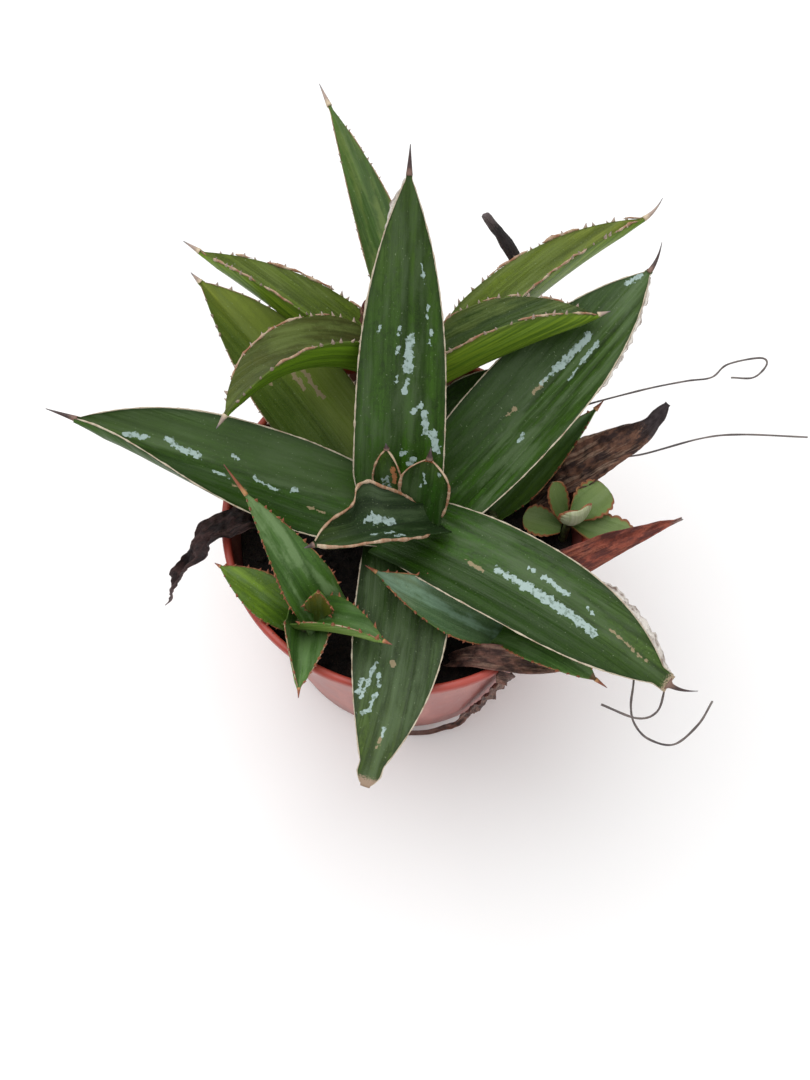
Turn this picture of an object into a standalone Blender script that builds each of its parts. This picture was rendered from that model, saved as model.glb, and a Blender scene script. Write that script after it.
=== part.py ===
"""Potted agave: a clump of leaf rosettes with dead leaves and dried fibres, in a round plastic pot.

Metres, +Z up, the pot's base on z = 0 with its centre at the origin.  Leaf and fibre sizes below are
in millimetres and degrees and are turned into metres when the meshes are made.
"""

import math

import bmesh
import bpy
import numpy as np

MM = 0.001
GAP = 0.35

# pot
RIM_R = 60.0
POT_H = 100.0
BASE_R = 50.0
WALL = 1.5
FLOOR = 2.0
LIP_H = 4.0
LIP_W = 2.5
DRAIN_R = 4.0
DRAIN_RING = 30.0
DRAIN_COUNT = 6
TURNS = 48
STEM_TURNS = 16
HOLE_TURNS = 20

# soil
SOIL_TOP = 85.0
SOIL_LUMP = 1.2

# leaves
STATIONS = 10
ACROSS = 5
EDGE = 0.9

COLOURS = {
    "terracotta_plastic": ((0.34, 0.07, 0.055), 0.45),
    "dark_soil": ((0.02, 0.014, 0.011), 0.95),
    "leaf_green": ((0.045, 0.12, 0.03), 0.4),
    "leaf_light_green": ((0.12, 0.22, 0.04), 0.42),
    "stem_green": ((0.16, 0.2, 0.08), 0.6),
    "dead_leaf_brown": ((0.09, 0.045, 0.03), 0.8),
    "dead_leaf_red": ((0.2, 0.065, 0.04), 0.7),
    "plantlet_green": ((0.14, 0.2, 0.06), 0.5),
    "dried_fibre": ((0.2, 0.17, 0.15), 0.8),
}

# stems: centre x, y; radius at each height
STEMS = {
    "main_stem": ((0, -8), [(66, 9), (84, 10), (94, 9), (106, 7), (114, 4.5), (117, 2.5)]),
    "rear_stem": ((2, 38), [(66, 7), (84, 7.5), (100, 6.5), (112, 5), (118, 3)]),
    "southwest_stem": ((-32, -37), [(70, 4), (84, 4.5), (98, 4), (104, 2.5)]),
    "southeast_stem": ((30, -40), [(70, 4), (84, 4.5), (96, 4), (101, 2.5)]),
    "east_stem": ((28, 1), [(70, 3), (84, 3.2), (93, 3), (96, 2)]),
    "plantlet_stem": ((52.4, -3.5), [(72, 1.4), (86, 1.4), (101, 1.2), (104, 0.9)]),
}

# leaves: stem they grow from; z = base height; az, bend = heading and its change; p = pitch at base
# and tip; L, W = length and width; wide = where the widest part is; b0, tip = share of the width at
# the base and the tip; tp = taper power; cup, roll = cupping and roll at base and tip; thick, spine =
# thickness and spine length; at = side of the stem when it is not the heading; out = extra reach;
# vee = how sharply the leaf folds (smaller is sharper); cup_rise, roll_rise = how late they set in
MAIN = "leaf_green"
LIGHT = "leaf_light_green"
LEAVES = {
    "north_leaf": dict(
        stem="main_stem", z=112, out=0.7, at=118, az=87, p=(42, 48), L=97, W=27.5, wide=0.12, b0=0.8,
        tp=3.0, cup=(14, 30), roll=(0, -4), thick=3.4, spine=8
    ),
    "northeast_leaf": dict(
        stem="main_stem", z=101, az=42, bend=4, p=(24, 20), L=104, W=35, wide=0.4, b0=0.45, tp=2.6,
        cup=(20, 32), roll=(-10, -8), thick=3.2, spine=9
    ),
    "west_leaf": dict(
        stem="main_stem", z=105, at=150, out=0.3, az=170, bend=0, p=(18, 24), L=98, W=32, wide=0.38,
        b0=0.5, tp=2.8, cup=(25, 84), roll=(-4, 26), cup_rise=2.0, roll_rise=1.6, thick=3.2, spine=9
    ),
    "southeast_leaf": dict(
        stem="main_stem", z=109, at=-45, out=0.8, az=-32, bend=-6, p=(18, -8), L=86, W=29.5, wide=0.3,
        b0=0.55, tp=3.0, cup=(22, 28), roll=(0, 0), thick=3.2, spine=8
    ),
    "south_leaf": dict(
        stem="main_stem", z=100, az=-92, bend=-17, p=(8, -4), L=73, W=29, wide=0.25, b0=0.65, tp=2.1,
        tip=0.3, cup=(12, 16), roll=(0, 6), thick=2.8, spine=0.0
    ),
    "northwest_leaf": dict(
        stem="main_stem", z=96, at=125, az=125, bend=20, p=(14, 36), L=97, W=32, wide=0.5, b0=0.35, tp=2.0,
        cup=(16, 28), roll=(0, 4), thick=2.6, spine=4
    ),
    "folded_centre_leaf": dict(
        stem="main_stem", z=118, at=-50, out=1.5, az=203, bend=4, p=(36, 14), L=36, W=24, wide=0.35,
        b0=0.35, tp=2.6, cup=(46, 60), roll=(0, -8), thick=2.2, spine=3
    ),
    "erect_centre_leaf": dict(
        stem="main_stem", z=116.6, at=10, out=2, az=80, p=(60, 58), L=19, W=15.5, wide=0.5, b0=0.3, tp=2.8,
        cup=(26, 36), roll=(-6, -6), thick=1.8, spine=4
    ),
    "inner_centre_leaf": dict(
        stem="main_stem", z=116, at=128, out=3.8, az=100, p=(60, 62), L=18, W=10, wide=0.35, b0=0.3, tp=2.6,
        cup=(40, 50), roll=(-24, -24), thick=1.5, spine=2
    ),
    "rear_narrow_leaf": dict(
        stem="rear_stem", z=112, at=62, out=1.6, az=107, bend=9, p=(26, 19), L=93, W=17, wide=0.35,
        b0=0.35, tp=1.7, cup=(25, 32), thick=2.2, spine=8, colour=LIGHT
    ),
    "rear_west_leaf": dict(
        stem="rear_stem", z=104, out=1.2, at=155, az=150, bend=4, p=(30, 20), L=77, W=31, wide=0.3, b0=0.3,
        tp=2.0, cup=(56, 60), roll=(32, 26), vee=0.2, thick=2.0, spine=6, colour=LIGHT
    ),
    "rear_arching_leaf": dict(
        stem="rear_stem", z=115.6, out=2.7, az=180, bend=54, p=(60, -18), L=65, W=30, wide=0.35, b0=0.3,
        tp=2.0, cup=(60, 50), roll=(40, 18), vee=0.2, thick=2.0, spine=5, colour=LIGHT
    ),
    "rear_east_leaf": dict(
        stem="rear_stem", z=104, at=46, out=1.2, az=39, bend=-16, p=(26, 17), L=89, W=27, wide=0.35,
        b0=0.3, tp=2.2, cup=(50, 60), roll=(-26, -26), vee=0.2, thick=2.0, spine=8, colour=LIGHT
    ),
    "rear_southeast_leaf": dict(
        stem="rear_stem", z=113, out=1.4, az=10, bend=3, p=(40, 10), L=58, W=35, wide=0.3, b0=0.3, tp=2.2,
        cup=(58, 66), roll=(-28, -36), vee=0.2, thick=2.0, spine=4, colour=LIGHT
    ),
    "rear_low_leaf": dict(
        stem="rear_stem", z=98, at=-50, out=5.2, az=38, bend=4, p=(14, 10), L=36, W=20, wide=0.35, b0=0.4,
        tp=1.8, cup=(20, 30), thick=1.6, spine=2
    ),
    "east_small_leaf": dict(
        stem="east_stem", z=92, az=40, bend=2, p=(32, 28), L=46, W=14, wide=0.35, b0=0.45, tp=1.8,
        cup=(35, 50), roll=(-6, -10), thick=1.6, spine=4, colour=LIGHT
    ),
    "southeast_offset_leaf_1": dict(
        stem="southeast_stem", z=98.5, az=167, bend=-14, p=(34, 16), L=42, W=17, wide=0.35, b0=0.3, tp=1.6,
        cup=(25, 34), thick=2.0, spine=4, colour=LIGHT
    ),
    "southeast_offset_leaf_2": dict(
        stem="southeast_stem", z=102, az=-40, bend=4, p=(56, -8), L=33, W=15, wide=0.35, b0=0.25, tp=1.8,
        cup=(30, 40), thick=1.6, spine=4, colour=LIGHT
    ),
    "southeast_offset_leaf_3": dict(
        stem="southeast_stem", z=92.5, at=185, az=176, p=(32, 34), L=12, W=7, wide=0.35, b0=0.4, tp=1.8,
        cup=(30, 40), thick=1.4, spine=2, colour=LIGHT
    ),
    "southwest_offset_leaf_1": dict(
        stem="southwest_stem", z=103, at=40, out=3.4, az=128, bend=4, p=(52, 38), L=44, W=17, wide=0.2,
        b0=0.35, tp=1.4, cup=(25, 40), thick=1.8, spine=11, colour=LIGHT
    ),
    "southwest_offset_leaf_2": dict(
        stem="southwest_stem", z=101, out=0.8, az=-20, bend=-10, p=(46, 18), L=28, W=19, wide=0.2, b0=0.35,
        tp=1.5, cup=(50, 60), roll=(-26, -34), vee=0.25, thick=1.6, spine=3, colour=LIGHT
    ),
    "southwest_offset_leaf_3": dict(
        stem="southwest_stem", z=98.5, out=0.6, az=-90, p=(44, 0), L=20, W=18, wide=0.2, b0=0.35, tp=1.5,
        cup=(52, 58), roll=(-14, -26), vee=0.25, thick=1.6, spine=3, colour=LIGHT
    ),
    "southwest_offset_leaf_4": dict(
        stem="southwest_stem", z=95, az=150, bend=2, p=(42, 24), L=29, W=14, wide=0.4, b0=0.35, tp=1.8,
        cup=(24, 34), thick=1.6, spine=2, colour=LIGHT
    ),
    "southwest_offset_leaf_5": dict(
        stem="southwest_stem", z=104.4, at=8, out=2.6, az=80, p=(72, 84), L=13, W=9, wide=0.4, b0=0.4, tp=1.8,
        cup=(30, 40), thick=1.2, spine=1.5, colour=LIGHT
    ),
    "southwest_offset_leaf_6": dict(
        stem="southwest_stem", z=90, at=90, out=0.3, az=108, bend=10, p=(36, 32), L=33, W=11, wide=0.4,
        b0=0.35, tp=1.8, cup=(24, 34), thick=1.4, spine=2, colour=LIGHT
    ),
}


# rounded leaves of the small succulent plantlet, on its own stem
PLANTLET = {
    "plantlet_leaf_1": dict(stem="plantlet_stem", z=93, az=166, p=(10, 6), L=13, W=11),
    "plantlet_leaf_2": dict(stem="plantlet_stem", z=96, az=120, p=(50, 56), L=16, W=7),
    "plantlet_leaf_3": dict(stem="plantlet_stem", z=102, az=34, p=(26, 18), L=14, W=13),
    "plantlet_leaf_4": dict(stem="plantlet_stem", z=102.8, az=-70, p=(60, 108), L=12, W=12, cup=(34, 44)),
    "plantlet_leaf_5": dict(stem="plantlet_stem", z=100.6, az=-24, p=(16, 0), L=20, W=12),
}

# dead leaves: dry, thin and wavy, each laid along its own line of points with the way its upper
# face looks at even places along it
BROWN = "dead_leaf_brown"
UP = (0, 0, 1)
DEAD = {
    "dead_leaf_west": dict(
        line=[(-36, 2, 86.8), (-45, 0, 93), (-53, -4, 102), (-61, -8.5, 104), (-68, -14, 98),
              (-75, -19, 89), (-80, -24, 78)],
        faces=[UP, UP, UP, (-0.5, -0.3, 1), (-1, -0.5, 0.5)], W=10, cup=(10, 45), colour=BROWN
    ),
    "dead_leaf_east": dict(
        line=[(42, 10, 86.2), (49, 12, 97), (57.5, 14, 106), (67, 17.5, 111), (76, 22, 114),
              (83, 29, 119)], faces=[UP, UP, (0, -0.3, 1)], W=12.5, cup=(30, 45), colour=BROWN
    ),
    "dead_leaf_red": dict(
        line=[(40, -25, 86.6), (47, -22, 98), (54, -19.5, 105), (64, -15.5, 107), (75, -11, 109),
              (86, -7, 110)], faces=[UP, UP], W=13, cup=(30, 50), colour="dead_leaf_red"
    ),
    "dead_leaf_front": dict(
        line=[(13, -46.5, 87.5), (19, -47.6, 96.5), (28, -50, 103.4), (40, -51.5, 103.4),
              (54, -52.5, 104.5)], faces=[UP, (0, -0.3, 1)], W=8, cup=(20, 30), colour=BROWN
    ),
    "dead_leaf_hanging": dict(
        line=[(27.5, -55.4, 102.2), (31, -55.2, 98.5), (30.5, -52.6, 86), (28.8, -50.8, 60),
              (25.5, -49.5, 34), (20.5, -50, 12), (10.5, -52.4, 4), (0, -53, 3)],
        faces=[(0.2, -0.4, 1), (0.5, -0.8, 0.4), (0.5, -0.9, 0), (0.45, -0.9, 0), (0.4, -0.9, 0.1),
               (0.3, -0.8, 0.5), (0.1, -0.4, 0.9), (0, -0.3, 1)], W=6, cup=(10, 20), colour=BROWN
    ),
}

# dried stalk, bud and fibres: points along each and their radii
STALKS = {
    "dried_stalk": dict(
        points=[(4, 45.1, 101), (16, 60, 104.5), (34, 75, 105), (39, 87, 110), (33, 92, 120),
                (26, 93, 131)], radii=[1.8, 2.2, 2.4, 2.4, 2.2, 1.5], colour=BROWN
    ),
    "dried_bud": dict(
        points=[(0, 43.6, 116.5), (-3.8, 48.6, 121), (-8.4, 52.6, 126), (-11.2, 54, 132),
                (-12.2, 54, 138)], radii=[1.2, 1.8, 4.0, 4.4, 1.2], colour="dead_leaf_red"
    ),
}
FIBRES = {
    "fibre_looped": [
        (40, 30, 85.9), (44, 31.5, 97), (53, 34, 105), (76, 38.5, 110.5), (92, 42.5, 110),
        (101, 44, 110), (107, 49, 110), (118, 51.5, 110), (120, 49, 110), (115, 44, 110),
        (107, 43, 111.5)
    ],
    "fibre_long": [
        (44, 17, 85.4), (50.5, 17, 97), (57.5, 17.5, 102.4), (66, 18, 103), (77, 19, 103), (98, 26, 101),
        (112, 28, 100), (134, 27, 100)
    ],
    "fibre_at_tip": [(56, -66, 112), (66, -70, 112), (72, -68, 112.2), (74.8, -60.8, 113.2)],
    "fibre_below_tip": [
        (65.8, -52.2, 114.2), (66, -59, 112), (65, -66, 110), (66, -71, 108.5), (70, -75, 107),
        (78, -76, 104), (86, -70, 103), (91, -63, 103)
    ],
}
FIBRE_R = 0.5


def angle_list(start, end, count):
    return [start + (end - start) * k / (count - 1) for k in range(count)]


def stem_radius(profile, z):
    heights = [row[0] for row in profile]
    radii = [row[1] for row in profile]
    return float(np.interp(z, heights, radii))


def unit(v):
    return v / np.linalg.norm(v)


def seat_on_stem(spec):
    """The first point of a leaf's upper face, just clear of the stem it grows from."""
    centre, profile = STEMS[spec["stem"]]
    reach = stem_radius(profile, spec["z"]) + GAP + spec.get("out", 0.0)
    a = math.radians(spec.get("at", spec["az"]))
    return (centre[0] + reach * math.cos(a), centre[1] + reach * math.sin(a), spec["z"])


def leaf_path(spec, s):
    """Points, directions, side and face vectors along a leaf, for s from 0 (base) to 1 (tip)."""
    if "line" in spec:
        return line_path(spec, s)
    fine = np.linspace(0.0, 1.0, 201)
    heading = np.radians(spec["az"] + spec.get("bend", 0.0) * fine ** 1.3)
    p0, p1 = spec["p"]
    pitch = np.radians(p0 + (p1 - p0) * fine)
    flat = np.cos(pitch)
    ahead = np.stack([flat * np.cos(heading), flat * np.sin(heading), np.sin(pitch)], -1)
    middle = (ahead[1:] + ahead[:-1]) / 2
    line = np.vstack([[0, 0, 0], np.cumsum(middle, 0)]) / 200 * spec["L"] + np.array(seat_on_stem(spec))
    points = np.stack([np.interp(s, fine, line[:, k]) for k in range(3)], -1)
    h = np.interp(s, fine, heading)
    p = np.interp(s, fine, pitch)
    t = np.stack([np.cos(p) * np.cos(h), np.cos(p) * np.sin(h), np.sin(p)], -1)
    side = np.stack([-np.sin(h), np.cos(h), 0 * h], -1)
    face = np.cross(t, side)
    r0, r1 = spec.get("roll", (0, 0))
    roll = np.radians(r0 + (r1 - r0) * s ** spec.get("roll_rise", 1.0))[:, None]
    return points, t, side * np.cos(roll) + face * np.sin(roll), face * np.cos(roll) - side * np.sin(roll)


def line_path(spec, s):
    """The same for a leaf laid along its own points."""
    line = np.array(smooth_line(spec["line"], 12))
    reach = np.concatenate([[0], np.cumsum(np.linalg.norm(np.diff(line, axis=0), axis=1))])
    reach /= reach[-1]
    points = np.stack([np.interp(s, reach, line[:, k]) for k in range(3)], -1)
    slope = np.gradient(line, reach, axis=0)
    ahead = np.stack([np.interp(s, reach, slope[:, k]) for k in range(3)], -1)
    ahead /= np.linalg.norm(ahead, axis=1)[:, None]
    faces = np.array(spec["faces"], float)
    even = np.linspace(0.0, 1.0, len(faces))
    face = np.stack([np.interp(s, even, faces[:, k]) for k in range(3)], -1)
    side = np.cross(face, ahead)
    side /= np.linalg.norm(side, axis=1)[:, None]
    return points, ahead, side, np.cross(ahead, side)


def half_width(spec, s):
    """Half the leaf's width along it: from its base to its widest part, then tapering to the tip."""
    wide = spec.get("wide", 0.35)
    b0 = spec.get("b0", 0.5)
    rise = b0 + (1 - b0) * np.sin(np.clip(s / wide, 0, 1) * np.pi / 2)
    fall = 1 - np.clip((s - wide) / (1 - wide), 0, 1) ** spec.get("tp", 2.0)
    return spec["W"] / 2 * np.maximum(np.where(s < wide, rise, fall), spec.get("tip", 0.1))


def cross_section(cup, across, vee):
    """Side and height of the upper face, and its slope, at each place across the leaf (-1 to 1)."""
    fine = np.linspace(0.0, 1.0, 41)
    slope = math.radians(cup) * fine ** vee
    step = 1.0 / 40
    x = np.concatenate([[0], np.cumsum((np.cos(slope[1:]) + np.cos(slope[:-1])) / 2 * step)])
    z = np.concatenate([[0], np.cumsum((np.sin(slope[1:]) + np.sin(slope[:-1])) / 2 * step)])
    a = np.abs(across)
    sign = np.sign(across)
    return sign * np.interp(a, fine, x), np.interp(a, fine, z), sign * np.interp(a, fine, slope)


def loft(name, rings, material):
    """One closed body through rings of the same number of points, capped at both ends."""
    mesh = bpy.data.meshes.new(name)
    bm = bmesh.new()
    rows = [[bm.verts.new(tuple(p * MM for p in point)) for point in ring] for ring in rings]
    n = len(rows[0])
    for low, high in zip(rows[:-1], rows[1:]):
        for k in range(n):
            bm.faces.new((low[k], low[(k + 1) % n], high[(k + 1) % n], high[k]))
    bm.faces.new(list(reversed(rows[0])))
    bm.faces.new(rows[-1])
    bmesh.ops.recalc_face_normals(bm, faces=bm.faces)
    bm.to_mesh(mesh)
    bm.free()
    for polygon in mesh.polygons:
        polygon.use_smooth = True
    return add_object(name, mesh, material)


def add_object(name, mesh, material):
    obj = bpy.data.objects.new(name, mesh)
    mesh.materials.append(material)
    AGAVE.objects.link(obj)
    return obj


def make_material(name, colour_name):
    colour, roughness = COLOURS[colour_name]
    material = bpy.data.materials.new(name + "_material")
    material.use_nodes = True
    shader = material.node_tree.nodes["Principled BSDF"]
    shader.inputs["Base Color"].default_value = (*colour, 1.0)
    shader.inputs["Roughness"].default_value = roughness
    shader.inputs["Metallic"].default_value = 0.0
    return material


def leaf_rings(spec, stations, wave):
    """Rings of a leaf: upper face from one margin to the other, then the under face back."""
    s = np.linspace(0.0, 1.0, stations)
    points, ahead, side, face = leaf_path(spec, s)
    widths = half_width(spec, s)
    across = np.sin(np.linspace(-0.5, 0.5, ACROSS) * math.pi)
    c0, c1 = spec.get("cup", (20, 30))
    thick = spec.get("thick", 1.6)
    rings = []
    for k in range(stations):
        cup = c0 + (c1 - c0) * s[k] ** spec.get("cup_rise", 1.0)
        x, z, slope = cross_section(cup, across, spec.get("vee", 0.6))
        half = widths[k]
        ripple = wave * half * 0.2 * np.sin(9 * s[k] + 4 * across)
        body = EDGE + (thick - EDGE) * (1 - across ** 2) * min(1.0, 1.4 - s[k] * 0.8)
        top = points[k] + np.outer(x * half, side[k]) + np.outer(z * half + ripple, face[k])
        down = np.outer(np.sin(slope), side[k]) - np.outer(np.cos(slope), face[k])
        under = top + down * body[:, None]
        rings.append(np.vstack([top, under[::-1]]))
    length = spec.get("spine", 0.0)
    if length:
        last = rings[-1]
        middle = last.mean(0)
        for reach, radius in ((0.25, 0.8), (1.0, 0.3)):
            turn = np.radians(np.array(angle_list(180, 0, ACROSS) + angle_list(-25, -155, ACROSS)))
            offset = np.outer(np.cos(turn) * radius, side[-1]) + np.outer(np.sin(turn) * radius, face[-1])
            rings.append(middle + ahead[-1] * length * reach + offset)
    return rings


def build_leaf(name, spec, stations=STATIONS, wave=0.0):
    material = make_material(name, spec.get("colour", MAIN))
    return loft(name, leaf_rings(spec, stations, wave), material)


def tube_rings(points, radii, sides):
    """Rings round a line of points, each turned the least from the one before."""
    points = [np.array(p, float) for p in points]
    rings = []
    normal = None
    for k, point in enumerate(points):
        before = points[max(k - 1, 0)]
        after = points[min(k + 1, len(points) - 1)]
        ahead = unit(after - before)
        if normal is None:
            normal = unit(np.cross(ahead, (0.0, 0.3, 1.0)))
        normal = unit(normal - ahead * np.dot(normal, ahead))
        other = np.cross(ahead, normal)
        turns = np.arange(sides) * 2 * math.pi / sides
        rings.append(point + radii[k] * (np.outer(np.cos(turns), normal) + np.outer(np.sin(turns), other)))
    return rings


def smooth_line(points, per_span):
    """A soft curve through the points (Catmull-Rom), with extra points between them."""
    p = [np.array(q, float) for q in points]
    p = [2 * p[0] - p[1]] + p + [2 * p[-1] - p[-2]]
    line = []
    for a, b, c, d in zip(p[:-3], p[1:-2], p[2:-1], p[3:]):
        for k in range(per_span):
            t = k / per_span
            line.append(0.5 * (2 * b + (c - a) * t + (2 * a - 5 * b + 4 * c - d) * t * t
                               + (3 * b - a - 3 * c + d) * t ** 3))
    line.append(p[-2])
    return line


def spun(name, profile, centre, collection, turns):
    """A body turned about the vertical line through the centre, from a profile of (radius, z)."""
    mesh = bpy.data.meshes.new(name)
    points = [(r * MM, 0.0, z * MM) for r, z in profile]
    mesh.from_pydata(points, [(k, k + 1) for k in range(len(points) - 1)], [])
    obj = bpy.data.objects.new(name, mesh)
    obj.location = (centre[0] * MM, centre[1] * MM, 0.0)
    collection.objects.link(obj)
    screw = obj.modifiers.new("turn", "SCREW")
    screw.steps = turns
    screw.render_steps = turns
    screw.use_merge_vertices = True
    screw.merge_threshold = 0.00001
    screw.use_smooth_shade = True
    return obj


def stem_profile(profile, grow):
    """Top to bottom of a stem, from the axis out and back to the axis."""
    rows = [(0.0, profile[-1][0] + grow)]
    rows += [(r + grow, z) for z, r in reversed(profile)]
    rows[1] = (rows[1][0], rows[1][1] + grow)
    rows[-1] = (rows[-1][0], rows[-1][1] - grow)
    rows.append((0.0, profile[0][0] - grow))
    return rows


def cut(target, cutter, name):
    boolean = target.modifiers.new(name, "BOOLEAN")
    boolean.operation = "DIFFERENCE"
    boolean.solver = "EXACT"
    boolean.object = cutter


def build_pot():
    top_r = RIM_R - LIP_W / 2
    profile = [
        (0.0, FLOOR),
        (BASE_R - WALL, FLOOR),
        (RIM_R - LIP_W, POT_H - LIP_H),
        (RIM_R - LIP_W, POT_H - 0.8),
        (RIM_R - LIP_W + 0.6, POT_H),
        (top_r + 0.6, POT_H),
        (RIM_R, POT_H - 0.8),
        (RIM_R, POT_H - LIP_H + 0.8),
        (RIM_R - 0.7, POT_H - LIP_H),
        (RIM_R - 1.1, POT_H - LIP_H - 0.4),
        (BASE_R, 1.2),
        (BASE_R - 1.2, 0.0),
        (0.0, 0.0),
    ]
    pot = spun("pot", profile, (0, 0), AGAVE, TURNS)
    pot.data.materials.append(make_material("pot", "terracotta_plastic"))
    for k in range(DRAIN_COUNT):
        a = 2 * math.pi * (k + 0.5) / DRAIN_COUNT
        place = (DRAIN_RING * math.cos(a), DRAIN_RING * math.sin(a))
        outline = [(0, 8), (DRAIN_R, 8), (DRAIN_R, -4), (0, -4)]
        hole = spun("drain_hole_%d" % (k + 1), outline, place, CUTTERS, HOLE_TURNS)
        cut(pot, hole, hole.name)
    return pot


def inner_radius(z):
    """The pot's inner wall at a height."""
    return float(np.interp(z, [FLOOR, POT_H - LIP_H], [BASE_R - WALL, RIM_R - LIP_W]))


def build_soil():
    turns = [2 * math.pi * k / TURNS for k in range(TURNS)]
    bottom = FLOOR + GAP
    levels = [(inner_radius(bottom) - GAP, bottom)]
    levels.append((inner_radius(SOIL_TOP - 2) - GAP, SOIL_TOP - 2))
    rings = [[(r * math.cos(a), r * math.sin(a), z) for a in turns] for r, z in levels]
    for r in (52.0, 42.0, 31.0, 19.0, 7.0):
        ring = []
        for a in turns:
            lump = math.sin(3 * a + r / 9) + 0.6 * math.sin(7 * a - r / 4) + 0.4 * math.cos(11 * a + r)
            ring.append((r * math.cos(a), r * math.sin(a), SOIL_TOP + SOIL_LUMP * lump * 0.6))
        rings.append(ring)
    soil = loft("potting_soil", rings, make_material("potting_soil", "dark_soil"))
    for name, (centre, profile) in STEMS.items():
        pocket = spun(name + "_pocket", stem_profile(profile, GAP), centre, CUTTERS, STEM_TURNS)
        cut(soil, pocket, pocket.name)
    return soil


def build_stems():
    for name, (centre, profile) in STEMS.items():
        stem = spun(name, stem_profile(profile, 0.0), centre, AGAVE, STEM_TURNS)
        stem.data.materials.append(make_material(name, "stem_green"))


def build_all():
    build_pot()
    build_soil()
    build_stems()
    for name, spec in LEAVES.items():
        build_leaf(name, spec)
    for name, spec in PLANTLET.items():
        shape = dict(dict(wide=0.6, b0=0.25, tp=2.6, tip=0.3, cup=(20, 25), thick=1.3), **spec)
        shape["colour"] = "plantlet_green"
        build_leaf(name, shape, stations=7)
    for name, spec in DEAD.items():
        shape = dict(spec, wide=0.3, b0=0.5, tp=2.0, tip=0.15, thick=1.4, spine=3)
        build_leaf(name, shape, stations=13, wave=1.0)
    for name, spec in STALKS.items():
        rings = tube_rings(spec["points"], spec["radii"], 10)
        loft(name, rings, make_material(name, spec["colour"]))
    for name, points in FIBRES.items():
        line = smooth_line(points, 3)
        rings = tube_rings(line, [FIBRE_R] * len(line), 5)
        loft(name, rings, make_material(name, "dried_fibre"))


for old in list(bpy.data.objects):
    bpy.data.objects.remove(old, do_unlink=True)

AGAVE = bpy.data.collections.new("potted_agave")
CUTTERS = bpy.data.collections.new("cutters")
bpy.context.scene.collection.children.link(AGAVE)
bpy.context.scene.collection.children.link(CUTTERS)
build_all()
for cutter in CUTTERS.objects:
    cutter.hide_render = True
    cutter.display_type = "WIRE"
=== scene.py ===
"""Potted agave: the visual model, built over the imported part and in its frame.

Sizes along leaves are in millimetres and degrees, as in the part, and become metres when a mesh is made.
"""

import math
import random

import bmesh
import bpy
import numpy as np
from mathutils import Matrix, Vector
from mathutils import noise as perlin


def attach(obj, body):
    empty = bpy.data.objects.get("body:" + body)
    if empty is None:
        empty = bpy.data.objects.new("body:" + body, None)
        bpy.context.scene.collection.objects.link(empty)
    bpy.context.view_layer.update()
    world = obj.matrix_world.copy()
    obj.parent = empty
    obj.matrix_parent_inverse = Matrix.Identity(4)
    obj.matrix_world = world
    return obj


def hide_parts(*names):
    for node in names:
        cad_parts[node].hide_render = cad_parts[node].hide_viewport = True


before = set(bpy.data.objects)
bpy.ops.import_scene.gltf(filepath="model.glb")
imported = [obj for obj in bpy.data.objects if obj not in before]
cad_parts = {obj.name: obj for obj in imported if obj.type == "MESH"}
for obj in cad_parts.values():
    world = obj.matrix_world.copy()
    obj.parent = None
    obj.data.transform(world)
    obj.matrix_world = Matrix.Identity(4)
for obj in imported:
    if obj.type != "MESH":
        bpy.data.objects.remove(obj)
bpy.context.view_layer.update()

MM = 0.001
GAP = 0.35  # clearance between neighbouring pieces, in millimetres
RIM_R = 60.0
POT_H = 100.0
BASE_R = 50.0
WALL = 1.5
FLOOR = 2.0
LIP_H = 4.0
LIP_W = 2.5
DRAIN_R = 4.0
DRAIN_RING = 30.0
DRAIN_COUNT = 6
SOIL_TOP = 85.0
SOIL_LUMP = 1.2
CRUMBS = 420
FIBRE_R = 0.33
LENS = 33.33
SENSOR = 36.0
CAMERA_PLACE = (-0.0005, -0.130, 0.3969)
CAMERA_TILT = 22.0
FLOOR_TONE = 0.98
SKY_STRENGTH = 0.5
LAMPS = (("top_light", (-0.2, 0.25, 0.95), 1.1, 9.0), ("front_light", (0.5, -0.9, 0.9), 0.8, 3.0))
LAMP_TARGET = (0.0, 0.0, 0.1)

# what each point of a mesh knows: millimetres along and across its leaf, share of the length, how near
# the edge it is, and 1 on the underside
VALUES = ("along", "across", "share", "edge", "under")

# stems: centre x, y; radius at each height; how much lower each detailed stem ends under its leaves
STEMS = {
    "main_stem": ((0, -8), [(66, 9), (84, 10), (94, 9), (106, 7), (114, 4.5), (117, 2.5)]),
    "rear_stem": ((2, 38), [(66, 7), (84, 7.5), (100, 6.5), (112, 5), (118, 3)]),
    "southwest_stem": ((-32, -37), [(70, 4), (84, 4.5), (98, 4), (104, 2.5)]),
    "southeast_stem": ((30, -40), [(70, 4), (84, 4.5), (96, 4), (101, 2.5)]),
    "east_stem": ((28, 1), [(70, 3), (84, 3.2), (93, 3), (96, 2)]),
    "plantlet_stem": ((52.4, -3.5), [(72, 1.4), (86, 1.4), (101, 1.2), (104, 0.9)]),
}
STEM_DROP = {
    "main_stem": 6.0, "rear_stem": 6.0, "southwest_stem": 7.0, "southeast_stem": 6.0, "east_stem": 2.0
}

# rounded leaves of the small succulent plantlet, on its own stem; keys as for the leaves below
PLANTLET = {
    "plantlet_leaf_1": dict(stem="plantlet_stem", z=93, az=166, p=(10, 6), L=13, W=11),
    "plantlet_leaf_2": dict(stem="plantlet_stem", z=96, az=120, p=(50, 56), L=16, W=7),
    "plantlet_leaf_3": dict(stem="plantlet_stem", z=102, az=34, p=(26, 18), L=14, W=13),
    "plantlet_leaf_4": dict(stem="plantlet_stem", z=102.8, az=-70, p=(60, 108), L=12, W=12, cup=(34, 44)),
    "plantlet_leaf_5": dict(stem="plantlet_stem", z=100.6, az=-24, p=(16, 0), L=20, W=12),
}

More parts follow.
